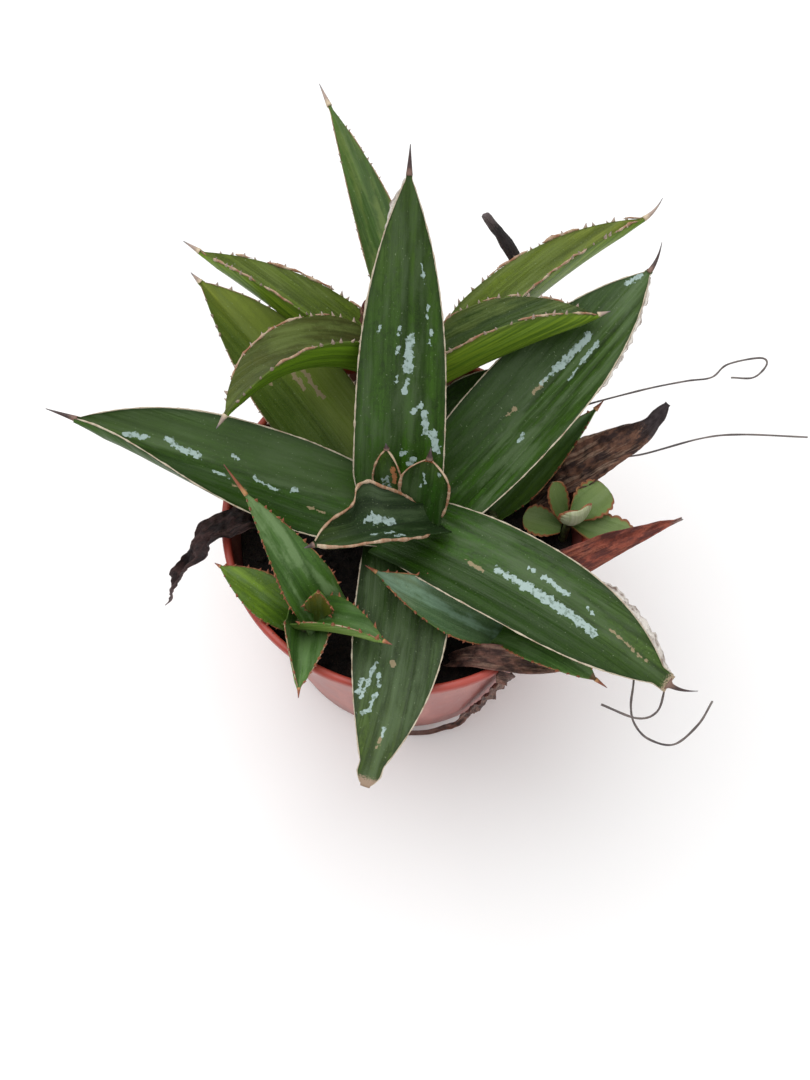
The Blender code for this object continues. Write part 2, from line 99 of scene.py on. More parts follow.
# dead leaves: dry, thin and wavy, each laid along its own line of points with the way its upper
# face looks at even places along it
UP = (0, 0, 1)
DEAD = {
    "dead_leaf_west": dict(
        line=[
            (-36, 2, 86.8), (-45, 0, 93), (-53, -4, 102), (-61, -8.5, 104), (-68, -14, 98), (-75, -19, 89),
            (-80, -24, 78)
        ],
        faces=[UP, UP, UP, (-0.5, -0.3, 1), (-1, -0.5, 0.5)],
        skin="purple", W=10, cup=(10, 45), crumple=2.6, ripple=1.8, b0=0.9, tp=1.3
    ),
    "dead_leaf_east": dict(
        line=[
            (42, 10, 86.2), (49, 12, 97), (57.5, 14, 106), (67, 17.5, 111), (76, 22, 114), (83, 29, 119)
        ],
        faces=[UP, UP, (0, -0.3, 1)],
        skin="brown", W=17, cup=(20, 50), b0=1.0, wide=0.4, tp=1.5, tip=0.3, blunt=0.08, crumple=2.0
    ),
    "dead_leaf_red": dict(
        line=[
            (40, -25, 86.6), (47, -22, 98), (54, -19.5, 105), (64, -15.5, 107), (75, -11, 109),
            (86, -7, 110)
        ],
        faces=[UP, UP],
        skin="red", W=13, cup=(40, 62), b0=0.7, tp=1.7, crumple=0.7, vee=0.3, tip=0.1
    ),
    "dead_leaf_front": dict(
        line=[
            (13, -46.5, 87.5), (19, -47.6, 96.5), (28, -50, 103.4), (40, -51.5, 103.4), (54, -52.5, 104.5)
        ],
        faces=[UP, (0, -0.3, 1)],
        skin="tan", W=8, cup=(20, 30), b0=0.5, wide=0.5, crumple=1.3, tip=0.3
    ),
    "dead_leaf_hanging": dict(
        line=[
            (27.5, -55.4, 102.2), (31, -55.2, 98.5), (30.5, -52.6, 86), (28.8, -50.8, 60),
            (25.5, -49.5, 34), (20.5, -50, 12), (10.5, -52.4, 4), (0, -53, 3)
        ],
        faces=[
            (0.2, -0.4, 1), (0.5, -0.8, 0.4), (0.5, -0.9, 0), (0.45, -0.9, 0), (0.4, -0.9, 0.1),
            (0.3, -0.8, 0.5), (0.1, -0.4, 0.9), (0, -0.3, 1)
        ],
        skin="tan", W=6, cup=(10, 20), crumple=0.8, tip=0.3, b0=0.6
    ),
}

# dried stalk, bud and fibres: points along each and their radii
STALKS = {
    "dried_stalk": dict(
        points=[(4, 45.1, 101), (16, 60, 104.5), (34, 75, 105), (39, 87, 110), (33, 92, 120),
                (26, 93, 131)], radii=[1.8, 2.2, 2.4, 2.4, 2.2, 1.5]
    ),
    "dried_bud": dict(
        points=[(0, 43.6, 116.5), (-3.8, 48.6, 121), (-8.4, 52.6, 126), (-11.2, 54, 132),
                (-12.2, 54, 138)], radii=[1.2, 1.8, 4.0, 4.4, 1.2]
    ),
}
FIBRES = {
    "fibre_looped": [
        (40, 30, 85.9), (44, 31.5, 97), (53, 34, 105), (76, 38.5, 110.5), (92, 42.5, 110),
        (101, 44, 110), (107, 49, 110), (118, 51.5, 110), (120, 49, 110), (115, 44, 110),
        (107, 43, 111.5)
    ],
    "fibre_long": [
        (44, 17, 85.4), (50.5, 17, 97), (57.5, 17.5, 102.4), (66, 18, 103), (77, 19, 103), (98, 26, 101),
        (112, 28, 100), (134, 27, 100)
    ],
    "fibre_at_tip": [(56, -66, 112), (66, -70, 112), (72, -68, 112.2), (74.8, -60.8, 113.2)],
    "fibre_below_tip": [
        (65.8, -52.2, 114.2), (66, -59, 112), (65, -66, 110), (66, -71, 108.5), (70, -75, 107),
        (78, -76, 104), (86, -70, 103), (91, -63, 103)
    ],
}


# ---------------------------------------------------------------- shapes


def srgb(red, green, blue):
    """A colour given as 0 to 255 display values, as linear light."""
    out = []
    for value in (red, green, blue):
        c = value / 255
        out.append(c / 12.92 if c <= 0.04045 else ((c + 0.055) / 1.055) ** 2.4)
    return tuple(out)


def unit(v):
    return v / np.linalg.norm(v)


def seed_of(name):
    return sum((k + 1) * ord(c) for k, c in enumerate(name))


def waver(t, seed):
    """Smooth noise from -1 to 1 along a list of numbers."""
    return np.array([perlin.noise(Vector((float(x), seed * 0.37, seed * 0.11))) for x in t])


def smooth_line(points, per_span):
    """A soft curve through the points (Catmull-Rom), with extra points between them."""
    p = [np.array(q, float) for q in points]
    p = [2 * p[0] - p[1]] + p + [2 * p[-1] - p[-2]]
    line = []
    for a, b, c, d in zip(p[:-3], p[1:-2], p[2:-1], p[3:]):
        for k in range(per_span):
            t = k / per_span
            line.append(0.5 * (2 * b + (c - a) * t + (2 * a - 5 * b + 4 * c - d) * t * t
                               + (3 * b - a - 3 * c + d) * t ** 3))
    line.append(p[-2])
    return line


def stem_radius(profile, z):
    return float(np.interp(z, [row[0] for row in profile], [row[1] for row in profile]))


def seat_on_stem(spec):
    centre, profile = STEMS[spec["stem"]]
    reach = stem_radius(profile, spec["z"]) + GAP + spec.get("out", 0.0)
    a = math.radians(spec.get("at", spec["az"]))
    return (centre[0] + reach * math.cos(a), centre[1] + reach * math.sin(a), spec["z"])


def leaf_path(spec, s):
    """Points, directions, side and face vectors along a leaf, for s from 0 (base) to 1 (tip)."""
    if "line" in spec:
        return line_path(spec, s)
    fine = np.linspace(0.0, 1.0, 201)
    heading = np.radians(spec["az"] + spec.get("bend", 0.0) * fine ** 1.3)
    p0, p1 = spec["p"]
    pitch = np.radians(p0 + (p1 - p0) * fine)
    flat = np.cos(pitch)
    ahead = np.stack([flat * np.cos(heading), flat * np.sin(heading), np.sin(pitch)], -1)
    middle = (ahead[1:] + ahead[:-1]) / 2
    line = np.vstack([[0, 0, 0], np.cumsum(middle, 0)]) / 200 * spec["L"] + np.array(seat_on_stem(spec))
    points = np.stack([np.interp(s, fine, line[:, k]) for k in range(3)], -1)
    h = np.interp(s, fine, heading)
    p = np.interp(s, fine, pitch)
    t = np.stack([np.cos(p) * np.cos(h), np.cos(p) * np.sin(h), np.sin(p)], -1)
    side = np.stack([-np.sin(h), np.cos(h), 0 * h], -1)
    face = np.cross(t, side)
    r0, r1 = spec.get("roll", (0, 0))
    roll = np.radians(r0 + (r1 - r0) * s ** spec.get("roll_rise", 1.0))[:, None]
    return points, t, side * np.cos(roll) + face * np.sin(roll), face * np.cos(roll) - side * np.sin(roll)


def line_path(spec, s):
    """The same for a leaf laid along its own points."""
    line = np.array(smooth_line(spec["line"], 12))
    reach = np.concatenate([[0], np.cumsum(np.linalg.norm(np.diff(line, axis=0), axis=1))])
    reach /= reach[-1]
    points = np.stack([np.interp(s, reach, line[:, k]) for k in range(3)], -1)
    slope = np.gradient(line, reach, axis=0)
    ahead = np.stack([np.interp(s, reach, slope[:, k]) for k in range(3)], -1)
    ahead /= np.linalg.norm(ahead, axis=1)[:, None]
    faces = np.array(spec["faces"], float)
    even = np.linspace(0.0, 1.0, len(faces))
    face = np.stack([np.interp(s, even, faces[:, k]) for k in range(3)], -1)
    side = np.cross(face, ahead)
    side /= np.linalg.norm(side, axis=1)[:, None]
    return points, ahead, side, np.cross(ahead, side)


def leaf_length(spec):
    if "L" in spec:
        return spec["L"]
    line = np.array(smooth_line(spec["line"], 12))
    return float(np.linalg.norm(np.diff(line, axis=0), axis=1).sum())


def half_width(spec, s):
    """Half the leaf's width along it: from its base to its widest part, then tapering to the tip."""
    wide = spec.get("wide", 0.35)
    b0 = spec.get("b0", 0.5)
    rise = b0 + (1 - b0) * np.sin(np.clip(s / wide, 0, 1) * np.pi / 2)
    fall = 1 - np.clip((s - wide) / (1 - wide), 0, 1) ** spec.get("tp", 2.0)
    if spec.get("round"):
        fall = np.sqrt(np.clip(1 - np.clip((s - wide) / (1 - wide), 0, 1) ** 2.6, 0, 1))
    half = spec["W"] / 2 * np.maximum(np.where(s < wide, rise, fall), spec.get("tip", 0.06))
    if spec.get("blunt"):
        half = half * np.clip(np.sqrt(np.clip((1 - s) / spec["blunt"], 0, 1)), 0.4, 1.0)
    if "scallop" in spec:
        wave = np.abs(np.sin(np.pi * spec["scallop"] * s ** 1.15)) ** 0.7
        half = half * (1 - 0.13 * (1 - wave) * np.clip((s - 0.2) * 5, 0, 1))
    return half


def cross_section(cup, across, vee):
    """Side and height of the upper face, and its slope, at each place across the leaf (-1 to 1)."""
    fine = np.linspace(0.0, 1.0, 41)
    slope = math.radians(cup) * fine ** vee
    step = 1.0 / 40
    x = np.concatenate([[0], np.cumsum((np.cos(slope[1:]) + np.cos(slope[:-1])) / 2 * step)])
    z = np.concatenate([[0], np.cumsum((np.sin(slope[1:]) + np.sin(slope[:-1])) / 2 * step)])
    a = np.abs(across)
    sign = np.sign(across)
    return sign * np.interp(a, fine, x), np.interp(a, fine, z), sign * np.interp(a, fine, slope)


class Piece:
    """The points, faces and surface values of one mesh while it is being built."""

    def __init__(self):
        self.points = []
        self.faces = []
        self.kinds = []
        self.values = {key: [] for key in VALUES}

    def rings(self, rings, kind, **values):
        """A closed skin through rings of the same number of points, capped at both ends."""
        rings = np.asarray(rings, float)
        count, n = rings.shape[:2]
        base = len(self.points)
        self.points.extend(map(tuple, rings.reshape(-1, 3)))
        for key in VALUES:
            self.values[key].extend(np.broadcast_to(values.get(key, 0.0), (count, n)).ravel())
        for k in range(count - 1):
            low = base + k * n
            for j in range(n):
                i = (j + 1) % n
                self.faces.append((low + j, low + i, low + n + i, low + n + j))
        self.faces.append(tuple(range(base + n - 1, base - 1, -1)))
        top = base + (count - 1) * n
        self.faces.append(tuple(range(top, top + n)))
        self.kinds.extend([kind] * ((count - 1) * n + 2))

    def made(self, name, materials, node):
        """Makes the object, riding on the one body and standing for its CAD node if it has one."""
        mesh = bpy.data.meshes.new(name)
        mesh.from_pydata([tuple(c * MM for c in p) for p in self.points], [], self.faces)
        for key in VALUES:
            layer = mesh.attributes.new(key, "FLOAT", "POINT")
            layer.data.foreach_set("value", np.array(self.values[key], np.float32))
        for material in materials:
            mesh.materials.append(material)
        mesh.polygons.foreach_set("material_index", self.kinds)
        bm = bmesh.new()
        bm.from_mesh(mesh)
        bmesh.ops.recalc_face_normals(bm, faces=bm.faces)
        bm.to_mesh(mesh)
        bm.free()
        mesh.polygons.foreach_set("use_smooth", [True] * len(mesh.polygons))
        obj = bpy.data.objects.new(name, mesh)
        bpy.context.scene.collection.objects.link(obj)
        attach(obj, "root")
        if node:
            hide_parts(node)


def tube_rings(points, radii, sides, squash=1.0):
    """Rings round a line of points, each turned the least from the one before."""
    points = [np.array(p, float) for p in points]
    rings = []
    normal = None
    for k, point in enumerate(points):
        before = points[max(k - 1, 0)]
        after = points[min(k + 1, len(points) - 1)]
        ahead = unit(after - before)
        if normal is None:
            normal = unit(np.cross(ahead, (0.0, 0.3, 1.0)))
        normal = unit(normal - ahead * np.dot(normal, ahead))
        other = np.cross(ahead, normal)
        turns = np.arange(sides) * 2 * math.pi / sides
        ring = np.outer(np.cos(turns), normal) + squash * np.outer(np.sin(turns), other)
        rings.append(point + radii[k] * ring)
    return np.array(rings)


def leaf_surface(spec, s, across, seed):
    """The upper and under faces of a leaf as grids, with the side and face vectors along it."""
    inside = np.maximum(s, 0.0)
    length = leaf_length(spec)
    points, ahead, side, face = leaf_path(spec, inside)
    points = points + ahead * (np.minimum(s, 0.0) * length)[:, None]
    widths = half_width(spec, inside)
    c0, c1 = spec.get("cup", (20, 30))
    thick = spec.get("thick", 1.6)
    flute = spec.get("flute", 0.25)
    ripple = spec.get("ripple", 0.0)
    crumple = spec.get("crumple", 0.0)
    crease = spec.get("crease", 0.0)
    thin_edge = spec.get("thin_edge", 0.5)
    cups = c0 + (c1 - c0) * inside ** spec.get("cup_rise", 1.0)
    sides = [np.ones(len(s)), np.ones(len(s))]
    for k, key in enumerate(("minus_side", "plus_side")):
        if key in spec:
            outline = np.array(smooth_line([(a, b, 0.0) for a, b in spec[key]], 6))
            sides[k] = np.interp(inside, outline[:, 0], outline[:, 1])
    top = np.zeros((len(s), len(across), 3))
    under = np.zeros_like(top)
    for k in range(len(s)):
        x, z, slope = cross_section(cups[k], across, spec.get("vee", 0.6))
        half = widths[k]
        fade = min(1.0, (1 - s[k]) * 6)
        rib = np.array([perlin.noise(Vector((a * 3.2, s[k] * 1.1, seed * 0.13))) for a in across])
        lift = flute * rib * (1 - across ** 4) * fade
        lift = lift - crease * np.exp(-(across / 0.09) ** 2) * min(1.0, max(s[k], 0.0) * 2.5) * fade
        swing = math.sin(length * s[k] * 0.35 + 2.0 * math.sin(seed + s[k] * 4))
        lift = lift + ripple * across ** 2 * swing * fade
        if crumple:
            rough = np.array([
                perlin.noise(Vector((a * half * 0.34, s[k] * length * 0.16, seed * 0.21)))
                + 0.5 * perlin.noise(Vector((a * half * 0.8, s[k] * length * 0.5, seed * 0.4)))
                for a in across
            ])
            lift = lift + crumple * rough
        body = thin_edge + (thick - thin_edge) * (1 - across ** 2) * min(1.0, 1.4 - s[k] * 0.8)
        body = body * (0.5 + 0.5 * min(1.0, (1 - s[k]) * 10))
        x = x * np.where(across < 0, sides[0][k], sides[1][k])
        top[k] = points[k] + np.outer(x * half, side[k]) + np.outer(z * half + lift, face[k])
        down = np.outer(np.sin(slope), side[k]) - np.outer(np.cos(slope), face[k])
        under[k] = top[k] + down * body[:, None]
    return top, under, ahead, side, face, widths


def add_margin(piece, top, under, s, sign, spec, seed, length):
    """A horny rim along one side of a leaf, in one piece or broken into several, smooth or frayed."""
    look = spec["margin"]
    column = -1 if sign > 0 else 0
    inner = -2 if sign > 0 else 1
    edge = (top[:, column] + under[:, column]) / 2
    outward = edge - (top[:, inner] + under[:, inner]) / 2
    outward /= np.maximum(np.linalg.norm(outward, axis=1), 1e-6)[:, None]
    up = top[:, column] - under[:, column]
    up /= np.maximum(np.linalg.norm(up, axis=1), 1e-6)[:, None]
    along = s * length
    step = look.get("start", 0.04)
    r = look.get("r", 0.5)
    rough = look.get("rough", 0.25)
    fray = look.get("fray", 0.0)
    breaks = look.get("breaks", -1.0)
    radius = r * (1 + rough * waver(along * 0.55, seed + 3) + 0.5 * rough * waver(along * 1.7, seed + 5))
    radius = radius * np.clip((s - step) * 20, 0.05, 1) * np.clip(0.55 + (1 - s) * 8, 0, 1)
    drift = fray * (0.6 + waver(along * 0.22, seed + 7))
    drift = drift * (0.4 + 0.6 * np.abs(waver(along * 0.9, seed + 9)))
    rise = fray * waver(along * 0.33, seed + 11)
    centre = edge + outward * (0.12 + drift)[:, None] + up * rise[:, None]
    keep = (waver(along * 0.16, seed + 13) > breaks) & (s >= step)
    runs = []
    start = None
    for k in range(len(s)):
        if keep[k] and start is None:
            start = k
        if start is not None and (not keep[k] or k == len(s) - 1):
            if k - start > 3:
                runs.append((start, k))
            start = None
    turns = np.arange(6) * math.pi / 3
    for a, b in runs:
        rows = []
        for k in range(a, b):
            fade = min(1.0, (k - a + 0.6) / 2.5, (b - k - 0.3) / 2.0) if breaks > -1 or k < a + 3 else 1.0
            wide = radius[k] * fade
            tall = wide * look.get("flat", 0.7)
            ring = wide * np.outer(np.cos(turns), outward[k]) + tall * np.outer(np.sin(turns), up[k])
            rows.append(centre[k] + ring)
        piece.rings(rows, RIM, along=along[a:b, None], share=s[a:b, None], across=sign * 1.0, edge=1.0)
    teeth = look.get("teeth", 0.0)
    if teeth:
        draw = random.Random(seed * 7 + sign)
        reach = draw.uniform(0.3, 1.0) * look.get("spacing", 3.6) + 0.06 * length
        while reach < length * 0.95:
            k = int(np.searchsorted(along, reach))
            k = min(max(k, 1), len(s) - 2)
            forward = unit(edge[k + 1] - edge[k - 1])
            size = teeth * draw.uniform(0.55, 1.2)
            lean = draw.uniform(-0.2, 0.7)
            tip = edge[k] + outward[k] * size + forward * size * lean
            tip = tip + up[k] * draw.uniform(-0.1, 0.25) * size
            rows = []
            for t, rr in ((0.0, 0.5), (0.45, 0.27), (1.0, 0.06)):
                mid = edge[k] * (1 - t) + tip * t
                ring = np.outer(np.cos(turns), forward) + 0.7 * np.outer(np.sin(turns), up[k])
                rows.append(mid + size * rr * ring)
            tooth_share = np.array([[0.0], [0.5], [0.8]])
            piece.rings(rows, TOOTH, along=reach, share=tooth_share, across=sign * 1.0, edge=1.0)
            reach += look.get("spacing", 3.6) * draw.uniform(0.6, 1.4)


def add_peel(piece, top, s, spec, seed, length):
    """A dry strip of horn that stands off one margin of a leaf."""
    look = spec["peel"]
    column, inner = (-1, -2) if look["sign"] > 0 else (0, 1)
    along = s * length
    inside = np.clip(np.minimum(s - look["start"], look["end"] - s) * 14, 0, 1)
    uneven = 0.75 + 0.45 * waver(along * 0.3, seed + 21) + 0.3 * waver(along * 1.1, seed + 23)
    wide = look["width"] * inside * uneven
    rows = []
    keep = [k for k in range(len(s)) if look["start"] <= s[k] <= look["end"]]
    for k in keep:
        edge = top[k, column]
        out = unit(edge - top[k, inner])
        up = unit(np.cross(out, top[min(k + 1, len(s) - 1), column] - top[k - 1, column]))
        up = up if up[2] > 0 else -up
        reach = max(wide[k], 0.1)
        wave = 0.5 * math.sin(along[k] * 0.9) + 0.4 * math.sin(along[k] * 2.1 + 1)
        shape = [(-0.4, -0.35), (0.3 * reach, -0.5 + 0.3 * wave), (reach, -0.7 + 0.8 * wave)]
        upper = [edge + out * a + up * b for a, b in shape]
        rows.append(upper + [q - up * 0.22 for q in upper[::-1]])
    over = np.array([0, 1, 2, 2, 1, 0.0])
    piece.rings(rows, LOOSE, along=along[keep][:, None], share=s[keep][:, None], across=over)


def add_spine(piece, spec, point, ahead, side, face, width):
    """The end spine: a slim cone that flares into the leaf's tip and may curve."""
    length = spec.get("spine", 0.0)
    if not length:
        return
    t = np.linspace(0.0, 1.0, 16)
    bend_side, bend_face = spec.get("curl", (0.0, 0.0))
    start = spec.get("spine_r", 0.85)
    rows = []
    turns = np.arange(10) * 2 * math.pi / 10
    for u in t:
        mid = point + ahead * length * (u - 0.08) + side * bend_side * u ** 2 + face * bend_face * u ** 2
        r = start * (1 - u) ** 1.15 + 0.13
        flare = max(0.0, 1 - u / 0.18) ** 2 * (width * 0.8 - start)
        ring = np.outer(np.cos(turns) * (r + max(flare, 0.0)), side) + np.outer(np.sin(turns) * r, face)
        rows.append(mid + ring)
    piece.rings(rows, TOOTH, along=(t * length)[:, None], share=t[:, None])


def build_leaf(name, spec, materials):
    """A leaf with its horny rims, teeth and end spine."""
    seed = seed_of(name) % 97
    length = leaf_length(spec)
    count = int(max(36, length * spec.get("density", 1.1)))
    even = np.linspace(0.0, 1.0, count)
    s = even + 0.06 * np.sin(np.pi * even) * even
    s[-1] = 1.0
    root = spec.get("root", 0.0) / length
    if root:
        s = np.concatenate([np.linspace(-root, 0.0, 6)[:-1], s])
    across = np.sin(np.linspace(-0.5, 0.5, spec.get("columns", 19)) * math.pi)
    top, under, ahead, side, face, widths = leaf_surface(spec, s, across, seed)
    piece = Piece()
    rows = np.concatenate([top, under[:, ::-1]], 1)
    mm_across = np.outer(widths, across)
    n = len(across)
    zero = np.zeros((len(s), n))
    piece.rings(
        rows, SKIN, along=(s * length)[:, None], share=s[:, None],
        across=np.concatenate([mm_across, mm_across[:, ::-1]], 1),
        edge=np.tile(np.concatenate([np.abs(across), np.abs(across[::-1])]), (len(s), 1)),
        under=np.concatenate([zero, zero + 1], 1),
    )
    if "margin" in spec:
        for sign in (-1, 1):
            add_margin(piece, top, under, s, sign, spec, seed + 40 * (sign + 1), length)
    if "peel" in spec:
        add_peel(piece, top, s, spec, seed, length)
    middle = rows[-1].mean(0)
    add_spine(piece, spec, middle, ahead[-1], side[-1], face[-1], widths[-1])
    piece.made(name + "_detail", materials, name)


# ---------------------------------------------------------------- surfaces


class Nodes:
    """Short names for the shader nodes of one node tree."""

    def __init__(self, tree):
        self.tree = tree

    def feed(self, value, socket):
        """Sets a socket from a number, a colour, a vector or another node's output."""
        if isinstance(value, bpy.types.NodeSocket):
            self.tree.links.new(value, socket)
        elif isinstance(value, tuple) and len(value) == 3 and socket.type == "RGBA":
            socket.default_value = (*value, 1.0)
        else:
            socket.default_value = value

    def node(self, kind, inputs, **settings):
        """The outputs of a new node, given its inputs by name or number."""
        node = self.tree.nodes.new("ShaderNode" + kind)
        for key, value in settings.items():
            setattr(node, key, value)
        for key, value in inputs.items():
            self.feed(value, node.inputs[key])
        return node.outputs

    def calc(self, operation, a, b, clamp=False):
        return self.node("Math", {0: a, 1: b}, operation=operation, use_clamp=clamp)[0]

    def plus(self, a, b):
        return self.calc("ADD", a, b)

    def minus(self, a, b):
        return self.calc("SUBTRACT", a, b)

    def times(self, a, b):
        return self.calc("MULTIPLY", a, b)

    def vector(self, operation, inputs, output=0):
        return self.node("VectorMath", inputs, operation=operation)[output]

    def surface_value(self, key):
        return self.node("Attribute", {}, attribute_name=key)["Fac"]

    def place(self, x, y, z=0.0):
        return self.node("CombineXYZ", {0: x, 1: y, 2: z})[0]

    def object_place(self):
        """Position on the object, in millimetres."""
        where = self.node("TexCoord", {})["Object"]
        return self.vector("SCALE", {0: where, "Scale": 1.0 / MM})

    def grain(self, vector, scale, detail=3.0, roughness=0.55, distortion=0.0):
        return self.node("TexNoise", {"Vector": vector, "Scale": scale, "Detail": detail,
                                      "Roughness": roughness, "Distortion": distortion})["Fac"]

    def step(self, value, low, high, to_low=0.0, to_high=1.0):
        """A soft step: to_low below low, to_high above high."""
        inputs = dict(enumerate((value, low, high, to_low, to_high)))
        return self.node("MapRange", inputs, interpolation_type="SMOOTHSTEP")[0]

    def blend(self, share, a, b):
        return self.node("Mix", {0: share, 6: a, 7: b}, data_type="RGBA")[2]


class Skin(Nodes):
    """A material whose colour is laid on in washes over a first colour."""

    def __init__(self, name, colour):
        self.material = bpy.data.materials.new(name)
        self.material.use_nodes = True
        super().__init__(self.material.node_tree)
        self.inputs = self.tree.nodes["Principled BSDF"].inputs
        self.colour = colour

    def wash(self, tint, *share):
        """Lays a tint over the colour, by one share or by the soft step that the values give."""
        share = share[0] if len(share) == 1 else self.step(*share)
        self.colour = self.blend(share, self.colour, tint)

    def finish(self, roughness, height, strength, distance):
        """The material, with its colour, roughness and fine relief in place."""
        relief = self.node("Bump", {"Strength": strength, "Distance": distance, "Height": height})[0]
        self.feed(self.colour, self.inputs["Base Color"])
        self.feed(roughness, self.inputs["Roughness"])
        self.feed(relief, self.inputs["Normal"])
        return self.material


def make_mark_group():
    """A node group that gives how far inside a ragged stroke, from start to end, a place on a leaf is."""
    group = bpy.data.node_groups.new("mark", "ShaderNodeTree")
    for name, kind in (("Place", "Vector"), ("Start", "Vector"), ("End", "Vector"),
                       ("Width", "Float"), ("Wobble", "Float")):
        group.interface.new_socket(name, in_out="INPUT", socket_type="NodeSocket" + kind)
    group.interface.new_socket("Mark", in_out="OUTPUT", socket_type="NodeSocketFloat")
    given = group.nodes.new("NodeGroupInput").outputs
    result = group.nodes.new("NodeGroupOutput").inputs
    nodes = Nodes(group)
    away = nodes.vector("SUBTRACT", {0: given["Place"], 1: given["Start"]})
    line = nodes.vector("SUBTRACT", {0: given["End"], 1: given["Start"]})
    reach = nodes.vector("DOT_PRODUCT", {0: away, 1: line}, "Value")
    whole = nodes.vector("DOT_PRODUCT", {0: line, 1: line}, "Value")
    share = nodes.calc("DIVIDE", reach, nodes.plus(whole, 0.0001), clamp=True)
    near = nodes.vector("SCALE", {0: line, "Scale": share})
    gap = nodes.vector("SUBTRACT", {0: away, 1: near})
    ragged = nodes.plus(nodes.vector("LENGTH", {0: gap}, "Value"), given["Wobble"])
    inside = nodes.minus(given["Width"], ragged)
    nodes.feed(nodes.step(inside, -0.08, 0.12), result["Mark"])
    return group


MARK = make_mark_group()
STROKE_FIT = 0.85  # a stroke's plain half width, before its ragged edge, as a share of the width given


def marks(skin, strokes, where, wobble, length):
    """The largest of a list of strokes, each (share, mm across, share, mm across, half width in mm)."""
    total = None
    for s0, a0, s1, a1, half in strokes:
        inputs = {"Place": where, "Start": (a0, s0 * length, 0.0), "End": (a1, s1 * length, 0.0),
                  "Width": half * STROKE_FIT, "Wobble": wobble}
        mark = skin.node("Group", inputs, node_tree=MARK)[0]
        total = mark if total is None else skin.calc("MAXIMUM", total, mark)
    return total


def leaf_material(name, look, length, half, seed):
    """A leaf's skin: streaks along it, tints from base to tip and side to side, marks, underside."""
    skin = Skin(name, look["base"])
    along, across, share, edge, under = (skin.surface_value(key) for key in VALUES)

    def drawn_out(stretch, shift, *numbers):
        """Noise drawn out along the leaf."""
        return skin.grain(skin.place(across, skin.times(along, stretch), seed + shift), *numbers)

    streak = drawn_out(0.035, 0, 1.1, 5.0, 0.62)
    broad = drawn_out(0.16, 7, 0.28, 2.0)
    fold = drawn_out(0.03, 3, 0.34, 2.0, 0.5)
    mottle = drawn_out(0.7, 11, 0.42, 6.0, 0.72, 0.8)
    where = skin.place(across, along)
    fine = skin.grain(where, 2.4, 3.0, 0.6)
    dark = look["dark"]
    half_shading_share = look.get("half_shading_share", 0.6)

    # tints along the leaf, then its streaks, painted shade in the folds, mottling, waxy bloom with a
    # painted sheen, and halves made lighter or darker as painted light and shade
    skin.wash(look["mid"], share, 0.02, 0.5)
    skin.wash(look["tip"], share, 0.5, 0.97)
    tone = skin.plus(skin.times(streak, 0.55), skin.times(broad, 0.45))
    skin.wash(dark, tone, 0.36, 0.62, 0.0, look.get("streaks", 0.6))
    # painted shade darkening the leaf along its folds
    skin.wash(dark, fold, 0.34, 0.56, look.get("folds", 0.5), 0.0)
    skin.wash(dark, mottle, 0.44, 0.66, 0.0, look.get("mottle", 0.4))
    # waxy bloom with a painted bluish sheen, laid on broad patches
    bloom_and_sheen_mask = skin.plus(broad, skin.times(mottle, 0.4))
    skin.wash(look["bloom_and_sheen"], bloom_and_sheen_mask, 0.62, 0.86, 0.0, look.get("bloom_and_sheen_share", 0.35))
    # painted light and shade: a half of the leaf made lighter where light falls on it, or darker where it
    # lies in shade
    if "left" in look:
        skin.wash(look["left"], across, -half * 0.3, half * 0.1, half_shading_share, 0.0)
    if "right" in look:
        skin.wash(look["right"], across, -half * 0.1, half * 0.3, 0.0, half_shading_share)
    skin.wash(look["tip"], fine, 0.35, 0.75, 0.0, 0.25)

    # the underside, the edge and the end
    streaked = skin.step(streak, 0.35, 0.65)
    skin.wash(skin.blend(streaked, look["under"], look.get("under_dark", look["mid"])), under)
    skin.wash(look["edge"], edge, 0.86, 0.99, 0.0, look.get("edge_share", 0.45))
    if "tip_tint" in look:
        ragged = skin.plus(share, skin.times(skin.minus(fine, 0.5), 0.06))
        skin.wash(look["tip_tint"], ragged, look["tip_from"], look["tip_from"] + 0.02)

    # scars, pale waxy marks and specks of dust on the upper face
    wobble = skin.times(skin.minus(skin.grain(where, 0.55, 5.0, 0.62), 0.5), 4.4)
    upper = skin.calc("SUBTRACT", 1.0, under, clamp=True)
    if "scars" in look:
        mask = marks(skin, look["scars"], where, wobble, length)
        skin.wash(look.get("scar_tint", SCAR), skin.times(mask, upper))
    if "pale" in look:
        mask = marks(skin, look["pale"], where, wobble, length)
        worn = skin.step(skin.grain(where, 0.6, 3.0, 0.6), 0.36, 0.5, 0.4, 0.95)
        skin.wash(WAX, skin.times(skin.times(mask, worn), upper))
    speck = skin.grain(skin.place(across, along, seed + 19), 1.7, 1.0, 0.5)
    skin.wash(DUST, skin.times(skin.step(speck, 0.72, 0.78, 0.0, look.get("dust", 0.4)), upper))

    skin.feed(0.22, skin.inputs["Specular IOR Level"])
    height = skin.plus(skin.plus(skin.times(streak, 0.5), skin.times(fine, 0.2)), skin.times(fold, 1.6))
    return skin.finish(skin.step(streak, 0.3, 0.7, 0.34, 0.5), height, 0.6, 0.0007)


def horn_material(name, pale, brown, brown_share, dark_share):
    """Horny leaf margin: pale, with brown stretches and fine cracks along it."""
    skin = Skin(name, pale)
    along, across = skin.surface_value("along"), skin.surface_value("across")
    patch = skin.grain(skin.place(skin.times(along, 0.22), across), 1.0, 5.0, 0.7)
    fine = skin.grain(skin.object_place(), 2.2, 3.0, 0.7)
    skin.wash(brown, patch, 0.56 - brown_share * 0.4, 0.78 - brown_share * 0.35)
    skin.wash(tuple(c * dark_share for c in pale), fine, 0.5, 0.75, 0.0, 0.55)
    return skin.finish(skin.step(fine, 0.3, 0.7, 0.5, 0.75), fine, 0.4, 0.0003)


